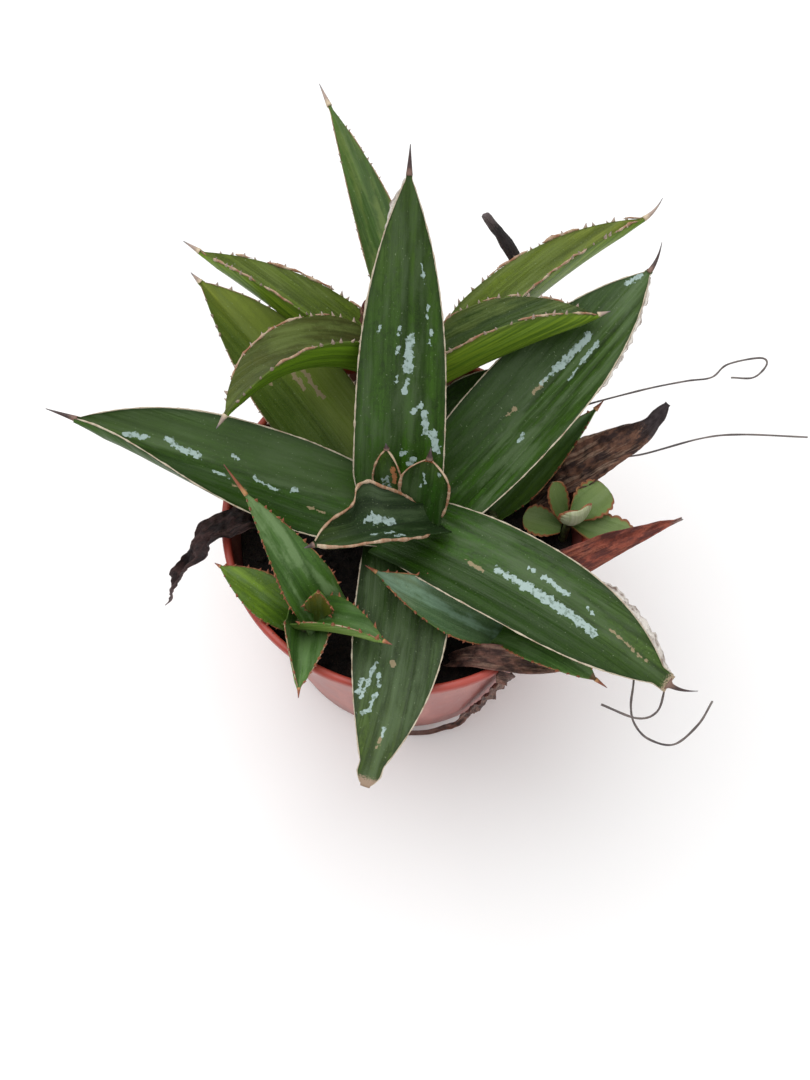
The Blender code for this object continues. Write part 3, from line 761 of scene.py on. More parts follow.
def spine_material(name, root, middle, tip):
    """Spine and teeth: a tint at the root, another in the middle and one at the point."""
    skin = Skin(name, root)
    share = skin.surface_value("share")
    fine = skin.grain(skin.object_place(), 1.6, 3.0, 0.6)
    wander = skin.plus(share, skin.times(skin.minus(fine, 0.5), 0.25))
    skin.wash(middle, wander, 0.08, 0.35)
    skin.wash(tip, wander, 0.55, 0.95)
    return skin.finish(skin.step(fine, 0.3, 0.7, 0.4, 0.65), fine, 0.3, 0.0002)


def dead_material(name, light, mid, dark, tip, tip_from=0.9, rib_highlight_share=0.5):
    """Dry leaf: mottled browns with lighter ribs along it, partly a painted highlight, and a different end.
    """
    skin = Skin(name, dark)
    along, across, share = (skin.surface_value(key) for key in ("along", "across", "share"))
    where = skin.place(across, skin.times(along, 0.5))
    rib = skin.grain(skin.place(across, skin.times(along, 0.08), 3.0), 1.1, 4.0, 0.6, 0.4)
    patch = skin.grain(where, 0.35, 4.0, 0.6)
    speck = skin.grain(where, 1.9, 4.0, 0.7)
    skin.wash(mid, patch, 0.4, 0.62)
    # lighter ribs, partly a painted highlight on the raised fibres that the bump also raises
    skin.wash(light, rib, 0.5, 0.66, 0.0, rib_highlight_share)
    skin.wash(dark, speck, 0.52, 0.72, 0.0, 0.6)
    worn = skin.plus(share, skin.times(skin.minus(speck, 0.5), 0.3))
    skin.wash(tip, worn, tip_from - 0.05, tip_from + 0.05)
    height = skin.plus(rib, skin.times(speck, 0.6))
    return skin.finish(skin.step(speck, 0.3, 0.7, 0.6, 0.85), height, 0.9, 0.0009)


# ---------------------------------------------------------------- camera, floor and light

scene = bpy.context.scene
camera_data = bpy.data.cameras.new("camera")
camera_data.lens = LENS
camera_data.sensor_width = SENSOR
camera = bpy.data.objects.new("camera", camera_data)
camera.location = CAMERA_PLACE
camera.rotation_euler = (math.radians(CAMERA_TILT), 0.0, 0.0)
scene.collection.objects.link(camera)
scene.camera = camera
scene.view_settings.view_transform = "Standard"

floor_mesh = bpy.data.meshes.new("floor")
floor_mesh.from_pydata([(-4, -4, 0), (4, -4, 0), (4, 4, 0), (-4, 4, 0)], [], [(0, 1, 2, 3)])
floor = bpy.data.objects.new("floor", floor_mesh)
paint = Skin("pale_floor", None)
paint.feed((FLOOR_TONE, FLOOR_TONE, FLOOR_TONE), paint.inputs["Base Color"])
paint.feed(0.9, paint.inputs["Roughness"])
floor_mesh.materials.append(paint.material)
scene.collection.objects.link(floor)

world = bpy.data.worlds.new("studio")
world.use_nodes = True
sky = world.node_tree.nodes["Background"]
sky.inputs["Color"].default_value = (1.0, 1.0, 1.0, 1.0)
sky.inputs["Strength"].default_value = SKY_STRENGTH
scene.world = world

for light_name, spot, size, power in LAMPS:
    light = bpy.data.lights.new(light_name, "AREA")
    light.shape = "SQUARE"
    light.size = size
    light.energy = power
    lamp = bpy.data.objects.new(light_name, light)
    lamp.location = spot
    lamp.rotation_euler = (Vector(LAMP_TARGET) - Vector(spot)).to_track_quat("-Z", "Y").to_euler()
    scene.collection.objects.link(lamp)


# ---------------------------------------------------------------- leaves and their looks

SKIN, RIM, TOOTH, LOOSE = range(4)  # a leaf's materials: skin, horny rim, spine and teeth, peeling strip
SCAR = srgb(142, 128, 98)
WAX = srgb(160, 180, 176)
DUST = srgb(150, 166, 130)

# rims: r = radius, rough = unevenness, flat = thickness against width, start = where along the leaf it
# begins, fray = how far it strays, breaks = how much of it is missing, teeth and spacing in millimetres
WHITE_RIM = dict(r=0.26, rough=0.9, flat=0.8, start=0.0, fray=0.12)
FRAYED_RIM = dict(r=0.42, rough=0.9, flat=0.7, start=0.05, fray=0.7, breaks=-0.05, teeth=1.35, spacing=3.0)
TOOTHED_RIM = dict(r=0.2, rough=0.6, flat=0.8, start=0.05, breaks=-0.15, teeth=1.3, spacing=2.6)

# bloom colours: waxy bloom with a painted bluish sheen
DARK = dict(base=srgb(50, 92, 6), mid=srgb(54, 86, 22), tip=srgb(68, 94, 34), dark=srgb(20, 36, 8),
            # folds: strength of the painted shade along the folds
            bloom_and_sheen=srgb(96, 118, 80), bloom_and_sheen_share=0.3, streaks=0.5, mottle=0.6, folds=0.65,
            under=srgb(66, 92, 44), edge=srgb(20, 38, 14))
LIME = dict(base=srgb(72, 96, 18), mid=srgb(94, 116, 32), tip=srgb(116, 134, 48), dark=srgb(48, 62, 20),
            bloom_and_sheen=srgb(132, 150, 78), under=srgb(122, 150, 40), under_dark=srgb(78, 108, 24),
            edge=srgb(70, 78, 32))
MILD = dict(base=srgb(66, 104, 26), mid=srgb(80, 116, 54), tip=srgb(96, 128, 70), dark=srgb(38, 66, 24),
            bloom_and_sheen=srgb(126, 154, 104), under=srgb(124, 152, 76), under_dark=srgb(92, 124, 46),
            edge=srgb(66, 88, 38))

RIM_WHITE = horn_material("white_horn", srgb(196, 184, 162), srgb(152, 126, 98), 0.25, 0.25)
RIM_TAN = horn_material("tan_horn", srgb(192, 172, 146), srgb(146, 98, 68), 0.5, 0.2)
RIM_RED = horn_material("red_horn", srgb(178, 130, 84), srgb(122, 62, 38), 0.55, 0.3)
SPINE_DARK = spine_material("dark_spine", srgb(120, 92, 80), srgb(62, 44, 42), srgb(84, 76, 78))
SPINE_PALE = spine_material("pale_spine", srgb(196, 178, 150), srgb(160, 140, 128), srgb(110, 102, 104))
SPINE_RED = spine_material("red_spine", srgb(176, 128, 82), srgb(138, 78, 52), srgb(112, 64, 52))
PEEL = horn_material("peeled_horn", srgb(208, 202, 194), srgb(96, 72, 60), 0.3, 0.15)

STYLES = {
    "dark": (DARK, WHITE_RIM, RIM_WHITE, SPINE_DARK),
    "lime": (LIME, FRAYED_RIM, RIM_TAN, SPINE_PALE),
    "mild": (MILD, TOOTHED_RIM, RIM_RED, SPINE_RED),
}

# stem = stem the leaf grows from; z = base height; az, bend = heading and its change; p = pitch at base
# and tip; L, W = length and width; wide = where the widest part is; b0, tip = share of the width at the
# base and the tip; tp = taper power; cup, roll = cupping and roll at base and tip, and cup_rise,
# roll_rise = how late they set in; vee = how sharply it folds; thick, spine, spine_r, curl = thickness,
# and the end spine's length, radius and bend; at = side of the stem when it is not the heading; out =
# extra reach; style = palette and rim; flute, crease = ridges and midrib groove; root = how far it
# reaches back into the stem; blunt = rounded part of the tip; minus_side, plus_side = outline on one
# side as (share along, factor); peel = a loose strip of the rim; look = changes to the palette, with
# pale marks and scars as strokes (share, mm across, share, mm across, half width in mm)
# in look, the colours of the left and right halves are painted light and shade
LEAVES = {
    "north_leaf": dict(
        stem="main_stem", z=112, out=0.7, at=118, az=87, p=(42, 48), L=97, W=27.5, wide=0.12, b0=0.8,
        tp=3.0, cup=(14, 30), roll=(0, -4), thick=3.4, spine=8, style="dark", flute=0.45, crease=0.3,
        root=8, peel=dict(sign=1, start=0.84, end=0.99, width=1.5),
        look=dict(
            pale=[
                (0.43, -1.6, 0.53, -2.0, 1.5), (0.36, -0.8, 0.4, -1.4, 0.8), (0.3, -3.6, 0.33, -6.6, 0.8),
                (0.24, -7.6, 0.3, -7.4, 1.1), (0.19, -11.4, 0.24, -10.2, 1.5),
                (0.17, -1.0, 0.17, -1.4, 1.0), (0.135, -3.4, 0.15, -4.6, 1.0), (0.48, 1.6, 0.5, 1.6, 0.5),
                (0.54, 1.5, 0.56, 1.3, 0.45), (0.52, -8.0, 0.56, -8.2, 0.45), (0.6, -7.0, 0.64, -6.8, 0.4),
                (0.7, -5.4, 0.76, -4.6, 0.35), (0.55, 7.4, 0.565, 7.0, 0.5), (0.395, 1.6, 0.41, 1.4, 0.5)
            ]
        )
    ),
    "northeast_leaf": dict(
        stem="main_stem", z=101, az=42, bend=4, p=(24, 20), L=104, W=35, wide=0.4, b0=0.75, tp=2.6,
        cup=(20, 32), roll=(-10, -8), thick=3.2, spine=9, style="dark", flute=0.35, crease=0.7,
        curl=(2.0, 3.0), root=12, peel=dict(sign=-1, start=0.6, end=0.99, width=1.3),
        look=dict(
            right=srgb(34, 58, 14), half_shading_share=0.6, bloom_and_sheen_share=0.5,
            pale=[
                (0.6, 1.6, 0.74, 1.0, 1.3), (0.54, 2.0, 0.6, 1.8, 0.6), (0.66, -3.4, 0.74, -3.0, 0.8),
                (0.6, -4.4, 0.64, -3.8, 0.5), (0.36, -6.0, 0.39, -5.6, 0.7), (0.93, 3.0, 0.975, 1.2, 0.8)
            ],
            scars=[(0.5, 2.0, 0.56, 1.8, 0.5), (0.4, 3.2, 0.43, 3.0, 0.5)]
        )
    ),
    "west_leaf": dict(
        stem="main_stem", z=105, at=150, out=0.3, az=170, p=(18, 24), L=98, W=32, wide=0.38, b0=0.7, tp=2.8,
        cup=(25, 84), roll=(-4, 26), cup_rise=2.0, roll_rise=1.6, thick=3.2, spine=9, style="dark",
        flute=0.5, crease=0.25, root=8,
        look=dict(
            right=srgb(26, 50, 12), left=srgb(60, 82, 40), half_shading_share=0.6, bloom_and_sheen_share=0.45,
            pale=[
                (0.3, 0.0, 0.315, 0.4, 0.9), (0.36, 2.0, 0.44, 0.4, 0.6), (0.52, 3.0, 0.56, 2.6, 0.6),
                (0.62, -1.0, 0.7, -2.2, 1.0), (0.71, -3.0, 0.73, -3.4, 0.8), (0.79, -2.0, 0.85, -0.6, 0.9),
                (0.86, 0.6, 0.9, 2.4, 0.7), (0.5, -4.0, 0.52, -4.4, 0.5)
            ],
            scars=[(0.2, 5.0, 0.26, 4.6, 0.4), (0.45, 6.0, 0.5, 5.8, 0.4)]
        )
    ),
    "southeast_leaf": dict(
        stem="main_stem", z=109, at=-45, out=0.8, az=-32, bend=-6, p=(18, -8), L=86, W=29.5, wide=0.3,
        b0=0.88, tp=3.0, cup=(22, 28), thick=3.2, spine=8, style="dark", flute=0.35, crease=0.15, root=12,
        tip=0.2, curl=(3.5, 1.0), peel=dict(sign=1, start=0.62, end=0.995, width=2.6),
        look=dict(
            tip_tint=srgb(176, 156, 132), tip_from=0.975, bloom_and_sheen_share=0.35, left=srgb(26, 48, 12),
            half_shading_share=0.6,
            pale=[
                (0.3, 1.0, 0.42, 0.8, 1.0), (0.42, 0.8, 0.6, 0.2, 1.6), (0.6, 0.2, 0.7, -0.8, 1.5),
                (0.46, 6.0, 0.56, 5.0, 0.8), (0.64, 4.6, 0.67, 4.0, 0.6), (0.4, 6.2, 0.42, 6.0, 0.5)
            ],
            scars=[(0.2, -1.0, 0.26, -1.4, 0.7), (0.74, 3.0, 0.9, 1.4, 0.25)]
        )
    ),
    "south_leaf": dict(
        stem="main_stem", z=100, az=-92, bend=-17, p=(8, -4), L=73, W=29, wide=0.25, b0=0.95, tp=2.1,
        tip=0.24, cup=(12, 16), roll=(0, 6), thick=2.8, style="dark", flute=0.3, root=10, blunt=0.05,
        look=dict(
            tip_tint=srgb(150, 128, 108), tip_from=0.955, base=srgb(40, 66, 24), mid=srgb(58, 80, 40),
            tip=srgb(74, 96, 30), bloom_and_sheen_share=0.4,
            pale=[
                (0.5, -6.0, 0.58, -7.2, 0.7), (0.58, -7.2, 0.66, -8.4, 0.6), (0.54, -4.4, 0.62, -4.0, 0.6),
                (0.62, -4.0, 0.7, -5.2, 0.6), (0.7, -5.2, 0.72, -7.6, 0.6), (0.58, -9.0, 0.64, -9.4, 0.7),
                (0.76, 0.6, 0.79, 0.4, 0.4)
            ],
            scars=[(0.48, -1.0, 0.5, -0.6, 0.6), (0.78, 0.2, 0.84, 0.0, 0.3)]
        )
    ),
    "northwest_leaf": dict(
        stem="main_stem", z=96, at=125, az=125, bend=20, p=(14, 36), L=97, W=32, wide=0.5, cup=(16, 28),
        roll=(0, 4), thick=2.6, spine=4, style="lime", flute=0.3, crease=0.8, root=6,
        rim=dict(TOOTHED_RIM, spacing=4.0),
        look=dict(
            # base: painted shade where the west leaf lies over this leaf's lower part; the two half colours
            # are painted light and shade
            base=srgb(34, 58, 12), mid=srgb(80, 104, 34), tip=srgb(126, 138, 46), left=srgb(104, 122, 40),
            right=srgb(52, 78, 24), half_shading_share=0.65,
            scars=[
                (0.52, -2.0, 0.74, -3.0, 0.7), (0.46, -5.0, 0.6, -5.6, 0.8), (0.64, -6.0, 0.74, -6.4, 0.6),
                (0.6, 6.0, 0.7, 5.6, 0.4)
            ]
        )
    ),
    "folded_centre_leaf": dict(
        stem="main_stem", z=118, at=-50, out=1.5, az=203, bend=4, p=(36, 14), L=36, W=24, b0=0.6, tp=2.6,
        cup=(46, 60), roll=(0, -8), thick=2.2, spine=3, style="dark", flute=0.3, crease=0.3, root=9,
        plus_side=[(0.0, 1.0), (0.3, 0.78), (0.6, 0.7), (0.85, 0.8), (1.0, 1.0)],
        minus_side=[
            (0.0, 0.7), (0.3, 0.9), (0.42, 1.2), (0.54, 1.15), (0.61, 0.76), (0.7, 0.64), (0.86, 0.76),
            (1.0, 0.9)
        ],
        rim=dict(WHITE_RIM, r=0.62, rough=0.7, fray=0.3), rim_material=RIM_TAN,
        look=dict(
            base=srgb(30, 52, 24), mid=srgb(34, 56, 26), tip=srgb(70, 90, 44), dark=srgb(20, 34, 16),
            pale=[
                (0.25, -1.0, 0.42, -2.6, 1.4), (0.42, -2.6, 0.5, -2.4, 0.9), (0.3, 4.0, 0.38, 4.4, 0.6),
                (0.26, 7.0, 0.32, 7.4, 1.0), (0.44, 3.4, 0.5, 3.6, 0.5)
            ]
        )
    ),
    "erect_centre_leaf": dict(
        stem="main_stem", z=116.6, at=10, out=2, az=80, p=(60, 58), L=19, W=15.5, wide=0.5, b0=0.8, tp=2.8,
        cup=(26, 36), roll=(-6, -6), thick=1.8, spine=4, style="dark", flute=0.2, root=4,
        rim=dict(WHITE_RIM, r=0.5, rough=0.6, fray=0.2), rim_material=RIM_TAN, spine_r=1.0,
        look=dict(
            base=srgb(34, 68, 16), mid=srgb(44, 80, 22), tip_tint=srgb(150, 84, 48), tip_from=0.93,
            pale=[
                (0.55, 0.6, 0.72, 1.0, 0.35), (0.75, -3.6, 0.8, -3.6, 0.4), (0.48, 1.6, 0.52, 1.6, 0.4)
            ]
        )
    ),
    "inner_centre_leaf": dict(
        stem="main_stem", z=116, at=128, out=3.8, az=100, p=(60, 62), L=18, W=10, b0=0.6, tp=2.6,
        cup=(40, 50), roll=(-24, -24), thick=1.5, spine=2, style="dark", flute=0.2, root=3,
        rim=dict(WHITE_RIM, r=0.42, rough=0.6, fray=0.2), rim_material=RIM_TAN,
        look=dict(
            pale=[(0.15, 2.2, 0.4, 2.4, 0.5), (0.2, 0.4, 0.42, 0.8, 0.45)],
            scars=[(0.35, -1.6, 0.62, -1.8, 1.0)], scar_tint=srgb(176, 118, 78)
        )
    ),
    "rear_narrow_leaf": dict(
        stem="rear_stem", z=112, at=62, out=1.6, az=107, bend=9, p=(26, 19), L=93, W=17, tp=1.7,
        cup=(25, 32), thick=2.2, spine=8, style="lime", root=4, crease=0.4,
        rim=dict(TOOTHED_RIM, teeth=0.9, spacing=3.0), rim_material=RIM_TAN,
        look=dict(
            base=srgb(40, 64, 16), mid=srgb(62, 92, 32), tip=srgb(84, 112, 48), dark=srgb(34, 56, 18)
        )
    ),
    "rear_west_leaf": dict(
        stem="rear_stem", z=104, out=1.2, at=155, az=150, bend=4, p=(30, 20), L=77, W=31, wide=0.3, b0=0.3,
        cup=(56, 60), roll=(32, 26), vee=0.2, thick=2.0, spine=6, style="lime", root=5
    ),
    "rear_arching_leaf": dict(
        stem="rear_stem", z=115.6, out=2.7, az=180, bend=54, p=(60, -18), L=65, W=30, b0=0.3, cup=(60, 50),
        roll=(40, 18), vee=0.2, thick=2.0, spine=5, style="lime", root=5,
        look=dict(
            base=srgb(60, 56, 24), mid=srgb(70, 74, 26), tip=srgb(86, 96, 34), under=srgb(104, 140, 30)
        )
    ),
    "rear_east_leaf": dict(
        stem="rear_stem", z=104, at=46, out=1.2, az=39, bend=-16, p=(26, 17), L=89, W=27, b0=0.3, tp=2.2,
        cup=(50, 60), roll=(-26, -26), vee=0.2, thick=2.0, spine=8, style="lime", root=5, curl=(1.5, 2.5),
        look=dict(mid=srgb(104, 124, 34), tip=srgb(130, 142, 50))
    ),
    "rear_southeast_leaf": dict(
        stem="rear_stem", z=113, out=1.4, az=10, bend=3, p=(40, 10), L=58, W=35, wide=0.3, b0=0.3, tp=2.2,
        cup=(58, 66), roll=(-28, -36), vee=0.2, thick=2.0, spine=4, style="lime", root=5,
        look=dict(
            base=srgb(56, 76, 28), mid=srgb(66, 88, 36), tip=srgb(70, 90, 40), dark=srgb(36, 54, 22)
        )
    ),
    "rear_low_leaf": dict(
        stem="rear_stem", z=98, at=-50, out=5.2, az=38, bend=4, p=(14, 10), L=36, W=20, b0=0.6, tp=1.8,
        cup=(20, 30), spine=2, style="dark", root=6
    ),
    "east_small_leaf": dict(
        stem="east_stem", z=92, az=40, bend=2, p=(32, 28), L=46, W=14, b0=0.45, tp=1.8, cup=(35, 50),
        roll=(-6, -10), spine=4, style="mild", root=4.5,
        look=dict(base=srgb(84, 118, 34), mid=srgb(90, 120, 46))
    ),
    "southeast_offset_leaf_1": dict(
        stem="southeast_stem", z=98.5, az=167, bend=-14, p=(34, 16), L=42, W=17, b0=0.7, tp=1.6,
        cup=(25, 34), thick=2.0, spine=4, style="mild", root=9, spine_r=0.6,
        look=dict(
            base=srgb(74, 104, 60), mid=srgb(80, 108, 70), tip=srgb(128, 146, 116),
            bloom_and_sheen=srgb(116, 146, 122), bloom_and_sheen_share=0.8, dark=srgb(44, 74, 40)
        )
    ),
    "southeast_offset_leaf_2": dict(
        stem="southeast_stem", z=102, az=-40, bend=4, p=(56, -8), L=33, W=15, b0=0.75, tp=1.8, cup=(30, 40),
        spine=4, style="mild", root=8, spine_r=0.6, crease=0.3,
        look=dict(scars=[(0.25, 0.6, 0.8, 1.2, 0.45)], tip_tint=srgb(110, 88, 62), tip_from=0.93)
    ),
    "southeast_offset_leaf_3": dict(
        stem="southeast_stem", z=92.5, at=185, az=176, p=(32, 34), L=12, W=7, b0=0.4, tp=1.8, cup=(30, 40),
        thick=1.4, spine=2, style="mild", root=4.5,
        look=dict(base=srgb(110, 140, 40), mid=srgb(120, 146, 50))
    ),
    "southwest_offset_leaf_1": dict(
        stem="southwest_stem", z=103, at=40, out=3.4, az=128, bend=4, p=(52, 38), L=44, W=17, wide=0.2,
        b0=0.95, tp=1.4, cup=(25, 40), thick=1.8, spine=11, style="mild", root=7, spine_r=0.6, crease=0.3,
        look=dict(bloom_and_sheen_share=0.75)
    ),
    "southwest_offset_leaf_2": dict(
        stem="southwest_stem", z=101, out=0.8, az=-20, bend=-10, p=(46, 18), L=28, W=19, wide=0.2, b0=0.8,
        tp=1.5, cup=(50, 60), roll=(-26, -34), vee=0.25, spine=3, style="mild", root=8, spine_r=0.6,
        rim_material=RIM_TAN
    ),
    "southwest_offset_leaf_3": dict(
        stem="southwest_stem", z=98.5, out=0.6, az=-90, p=(44, 0), L=20, W=18, wide=0.2, b0=0.9, tp=1.5,
        cup=(52, 58), roll=(-14, -26), vee=0.25, spine=3, style="mild", root=8, spine_r=0.5,
        rim_material=RIM_TAN
    ),
    "southwest_offset_leaf_4": dict(
        stem="southwest_stem", z=95, az=150, bend=2, p=(42, 24), L=29, W=14, wide=0.4, b0=0.7, tp=1.8,
        cup=(24, 34), spine=2, style="mild", root=8, spine_r=0.5,
        look=dict(base=srgb(72, 108, 24), mid=srgb(110, 142, 40), tip=srgb(126, 154, 60), dust=0.9)
    ),
    "southwest_offset_leaf_5": dict(
        stem="southwest_stem", z=104.4, at=8, out=2.6, az=80, p=(72, 84), L=13, W=9, wide=0.4, b0=0.4,
        tp=1.8, cup=(30, 40), thick=1.2, spine=1.5, style="mild", root=5, spine_r=0.5,
        look=dict(base=srgb(84, 104, 34), mid=srgb(108, 116, 40), tip=srgb(150, 110, 50))
    ),
    "southwest_offset_leaf_6": dict(
        stem="southwest_stem", z=90, at=90, out=0.3, az=108, bend=10, p=(36, 32), L=33, W=11, wide=0.4,
        b0=0.6, tp=1.8, cup=(24, 34), thick=1.4, spine=2, style="mild", root=7
    ),
}


# ---------------------------------------------------------------- plant


def build_leaves():
    for name, spec in LEAVES.items():
        palette, rim, horn, spine = STYLES[spec["style"]]
        shape = dict(spec, margin=spec.get("rim", rim))
        look = {**palette, **spec.get("look", {})}
        skin = leaf_material(name + "_skin", look, leaf_length(shape), shape["W"] / 2, seed_of(name) % 31)
        build_leaf(name, shape, [skin, spec.get("rim_material", horn), spine, PEEL])


def build_plantlet():
    look = dict(base=srgb(76, 104, 48), mid=srgb(104, 128, 68), tip=srgb(118, 136, 78),
                dark=srgb(70, 92, 44), bloom_and_sheen=srgb(128, 146, 92), under=srgb(168, 172, 142),
                under_dark=srgb(140, 150, 110), edge=srgb(140, 84, 50), edge_share=0.9, streaks=0.3)
    skin = leaf_material("plantlet_skin", look, 17.0, 6.0, 5)
    usual = dict(wide=0.62, b0=0.3, round=True, scallop=6, cup=(20, 25), thick=1.3, density=4.5,
                 thin_edge=0.6, margin=dict(r=0.28, rough=0.4, flat=0.9, start=0.25))
    for name, spec in PLANTLET.items():
        build_leaf(name, {**usual, **spec}, [skin, RIM_RED, SPINE_RED])


def build_dead_leaves():
    skins = {
        "brown": dead_material("dead_brown", srgb(176, 146, 124), srgb(112, 76, 58), srgb(48, 28, 24),
                               srgb(52, 42, 44), 0.8),
        "purple": dead_material("dead_purple", srgb(96, 68, 64), srgb(66, 42, 40), srgb(30, 17, 19),
                                srgb(96, 80, 80), 0.9, 0.4),
        "red": dead_material("dead_red", srgb(176, 104, 80), srgb(144, 72, 54), srgb(84, 38, 32),
                             srgb(142, 132, 128), 0.97),
        "tan": dead_material("dead_tan", srgb(164, 132, 114), srgb(122, 84, 72), srgb(60, 38, 34),
                             srgb(110, 84, 76)),
    }
    usual = dict(wide=0.3, b0=0.5, tip=0.15, thick=1.0, thin_edge=0.35, ripple=0.8, flute=0.5, density=2.2,
                 columns=23)
    for name, spec in DEAD.items():
        build_leaf(name, {**usual, **spec}, [skins[spec["skin"]]])


def build_stalk_and_bud():
    skins = {
        "dried_stalk": dead_material("dead_stalk", srgb(70, 56, 54), srgb(44, 34, 36), srgb(26, 20, 22),
                                     srgb(96, 84, 84), 0.93, 0.4),
        "dried_bud": dead_material("dry_bud", srgb(196, 158, 138), srgb(160, 112, 94), srgb(100, 58, 50),
                                   srgb(86, 30, 26), 0.9, 0.6),
    }
    for name, spec in STALKS.items():
        line = smooth_line(spec["points"], 8)
        spans = np.linspace(0.0, len(spec["radii"]) - 1, len(line))
        radii = np.interp(spans, range(len(spec["radii"])), spec["radii"])
        radii = radii * (1 + 0.22 * waver(spans * 2.3, 3) + 0.1 * waver(spans * 6.0, 8))
        rings = tube_rings(line, radii, 18, 0.8)
        for k, ring in enumerate(rings):
            centre = ring.mean(0)
            for j in range(len(ring)):
                lump = perlin.noise(Vector((j * 0.9, k * 0.22, 1.5)))
                ring[j] = centre + (ring[j] - centre) * (1 + 0.25 * lump)
        piece = Piece()
        share = np.linspace(0, 1, len(line))[:, None]
        mm = share * 40
        piece.rings(rings, SKIN, along=mm, share=share, across=np.linspace(-4, 4, 18)[None, :])
        piece.made(name + "_detail", [skins[name]], name)


def build_fibres():
    hair = dead_material("dry_hair", srgb(142, 130, 122), srgb(112, 102, 98), srgb(78, 70, 70),
                         srgb(120, 112, 108), 0.95, 0.4)
    for name, points in FIBRES.items():
        line = smooth_line(points, 10)
        t = np.arange(len(line)) * 0.35
        radii = FIBRE_R * (1 + 0.25 * waver(t, seed_of(name) % 13))
        piece = Piece()
        share = np.linspace(0, 1, len(line))[:, None]
        piece.rings(tube_rings(line, radii, 8), SKIN, along=t[:, None] * 2, share=share)
        piece.made(name + "_detail", [hair], name)


# ---------------------------------------------------------------- pot, soil and stems


def plastic_material():
    """Terracotta-coloured plastic: deeper at the lip, faded and scuffed on the wall, and darker and browner
    towards the bottom.
    """
    skin = Skin("faded_plastic", srgb(158, 84, 78))
    where = skin.object_place()
    height = skin.node("SeparateXYZ", {0: where})[2]
    squeezed = skin.node("Mapping", {"Scale": (1.0, 1.0, 0.22), "Vector": where})[0]
    smear = skin.grain(squeezed, 0.09, 4.0, 0.6)
    fine = skin.grain(where, 0.9, 4.0, 0.65)
    speck = skin.grain(where, 0.55, 2.0, 0.5)
    skin.wash(srgb(186, 122, 114), smear, 0.4, 0.64)
    skin.wash(srgb(140, 70, 62), fine, 0.45, 0.75, 0.0, 0.3)
    skin.wash(srgb(168, 66, 54), height, POT_H - LIP_H - 0.9, POT_H - LIP_H - 0.2)
    skin.wash(srgb(70, 34, 30), speck, 0.7, 0.74, 0.0, 0.75)
    # darker and browner towards the bottom of the wall
    skin.wash(srgb(120, 74, 64), height, 2.0, 30.0, 0.35, 0.0)
    return skin.finish(skin.step(smear, 0.3, 0.7, 0.34, 0.55), fine, 0.12, 0.0004)


def spun(name, profile, turns):
    """A body of revolution about the vertical axis, from a profile that starts and ends on the axis."""
    bm = bmesh.new()
    start = bm.verts.new((0, 0, profile[0][1] * MM))
    end = bm.verts.new((0, 0, profile[-1][1] * MM))
    rings = []
    for r, z in profile[1:-1]:
        ring = []
        for k in range(turns):
            a = 2 * math.pi * k / turns
            ring.append(bm.verts.new((r * MM * math.cos(a), r * MM * math.sin(a), z * MM)))
        rings.append(ring)
    for k in range(turns):
        j = (k + 1) % turns
        bm.faces.new((start, rings[0][k], rings[0][j]))
        bm.faces.new((end, rings[-1][j], rings[-1][k]))
        for low, high in zip(rings[:-1], rings[1:]):
            bm.faces.new((low[k], high[k], high[j], low[j]))
    bmesh.ops.recalc_face_normals(bm, faces=bm.faces)
    mesh = bpy.data.meshes.new(name)
    bm.to_mesh(mesh)
    bm.free()
    mesh.polygons.foreach_set("use_smooth", [True] * len(mesh.polygons))
    obj = bpy.data.objects.new(name, mesh)
    bpy.context.scene.collection.objects.link(obj)
    return obj


def build_pot():
    """The pot: a turned shell with a rounded lip, and drain holes cut through its floor."""
    top_r = RIM_R - LIP_W / 2
    profile = [(0.0, FLOOR), (BASE_R - WALL - 1.2, FLOOR), (BASE_R - WALL, FLOOR + 1.0)]
    profile += [(BASE_R - WALL + (RIM_R - LIP_W - BASE_R + WALL) * t, FLOOR + (POT_H - LIP_H - FLOOR) * t)
                for t in (0.25, 0.5, 0.75, 1.0)]
    profile += [(RIM_R - LIP_W, POT_H - 0.9), (RIM_R - LIP_W + 0.25, POT_H - 0.25),
                (RIM_R - LIP_W + 0.8, POT_H), (top_r + 0.3, POT_H), (RIM_R - 0.35, POT_H - 0.25),
                (RIM_R, POT_H - 0.9), (RIM_R, POT_H - LIP_H + 0.9), (RIM_R - 0.3, POT_H - LIP_H + 0.2),
                (RIM_R - 0.9, POT_H - LIP_H - 0.1), (RIM_R - 1.25, POT_H - LIP_H - 0.6)]
    wall_r = RIM_R - 1.25
    profile += [(wall_r - (wall_r - BASE_R) * t, POT_H - LIP_H - 0.6 - (POT_H - LIP_H - 2.1) * t)
                for t in (0.25, 0.5, 0.75, 1.0)]
    profile += [(BASE_R - 0.4, 0.4), (BASE_R - 1.4, 0.0), (0.0, 0.0)]
    pot = spun("pot_detail", profile, 144)
    cutters = []
    for k in range(DRAIN_COUNT):
        a = 2 * math.pi * (k + 0.5) / DRAIN_COUNT
        hole = spun("drain_cut_%d" % (k + 1), [(0, 8), (DRAIN_R, 8), (DRAIN_R, -4), (0, -4)], 40)
        hole.location = (DRAIN_RING * math.cos(a) * MM, DRAIN_RING * math.sin(a) * MM, 0.0)
        cutters.append(hole)
        boolean = pot.modifiers.new(hole.name, "BOOLEAN")
        boolean.object = hole
        boolean.solver = "EXACT"
    bpy.context.view_layer.update()
    cut = bpy.data.meshes.new_from_object(pot.evaluated_get(bpy.context.evaluated_depsgraph_get()))
    pot.modifiers.clear()
    pot.data = cut
    for hole in cutters:
        bpy.data.objects.remove(hole)
    cut.materials.clear()
    cut.materials.append(plastic_material())
    cut.set_sharp_from_angle(angle=math.radians(50))
    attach(pot, "root")
    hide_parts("pot")


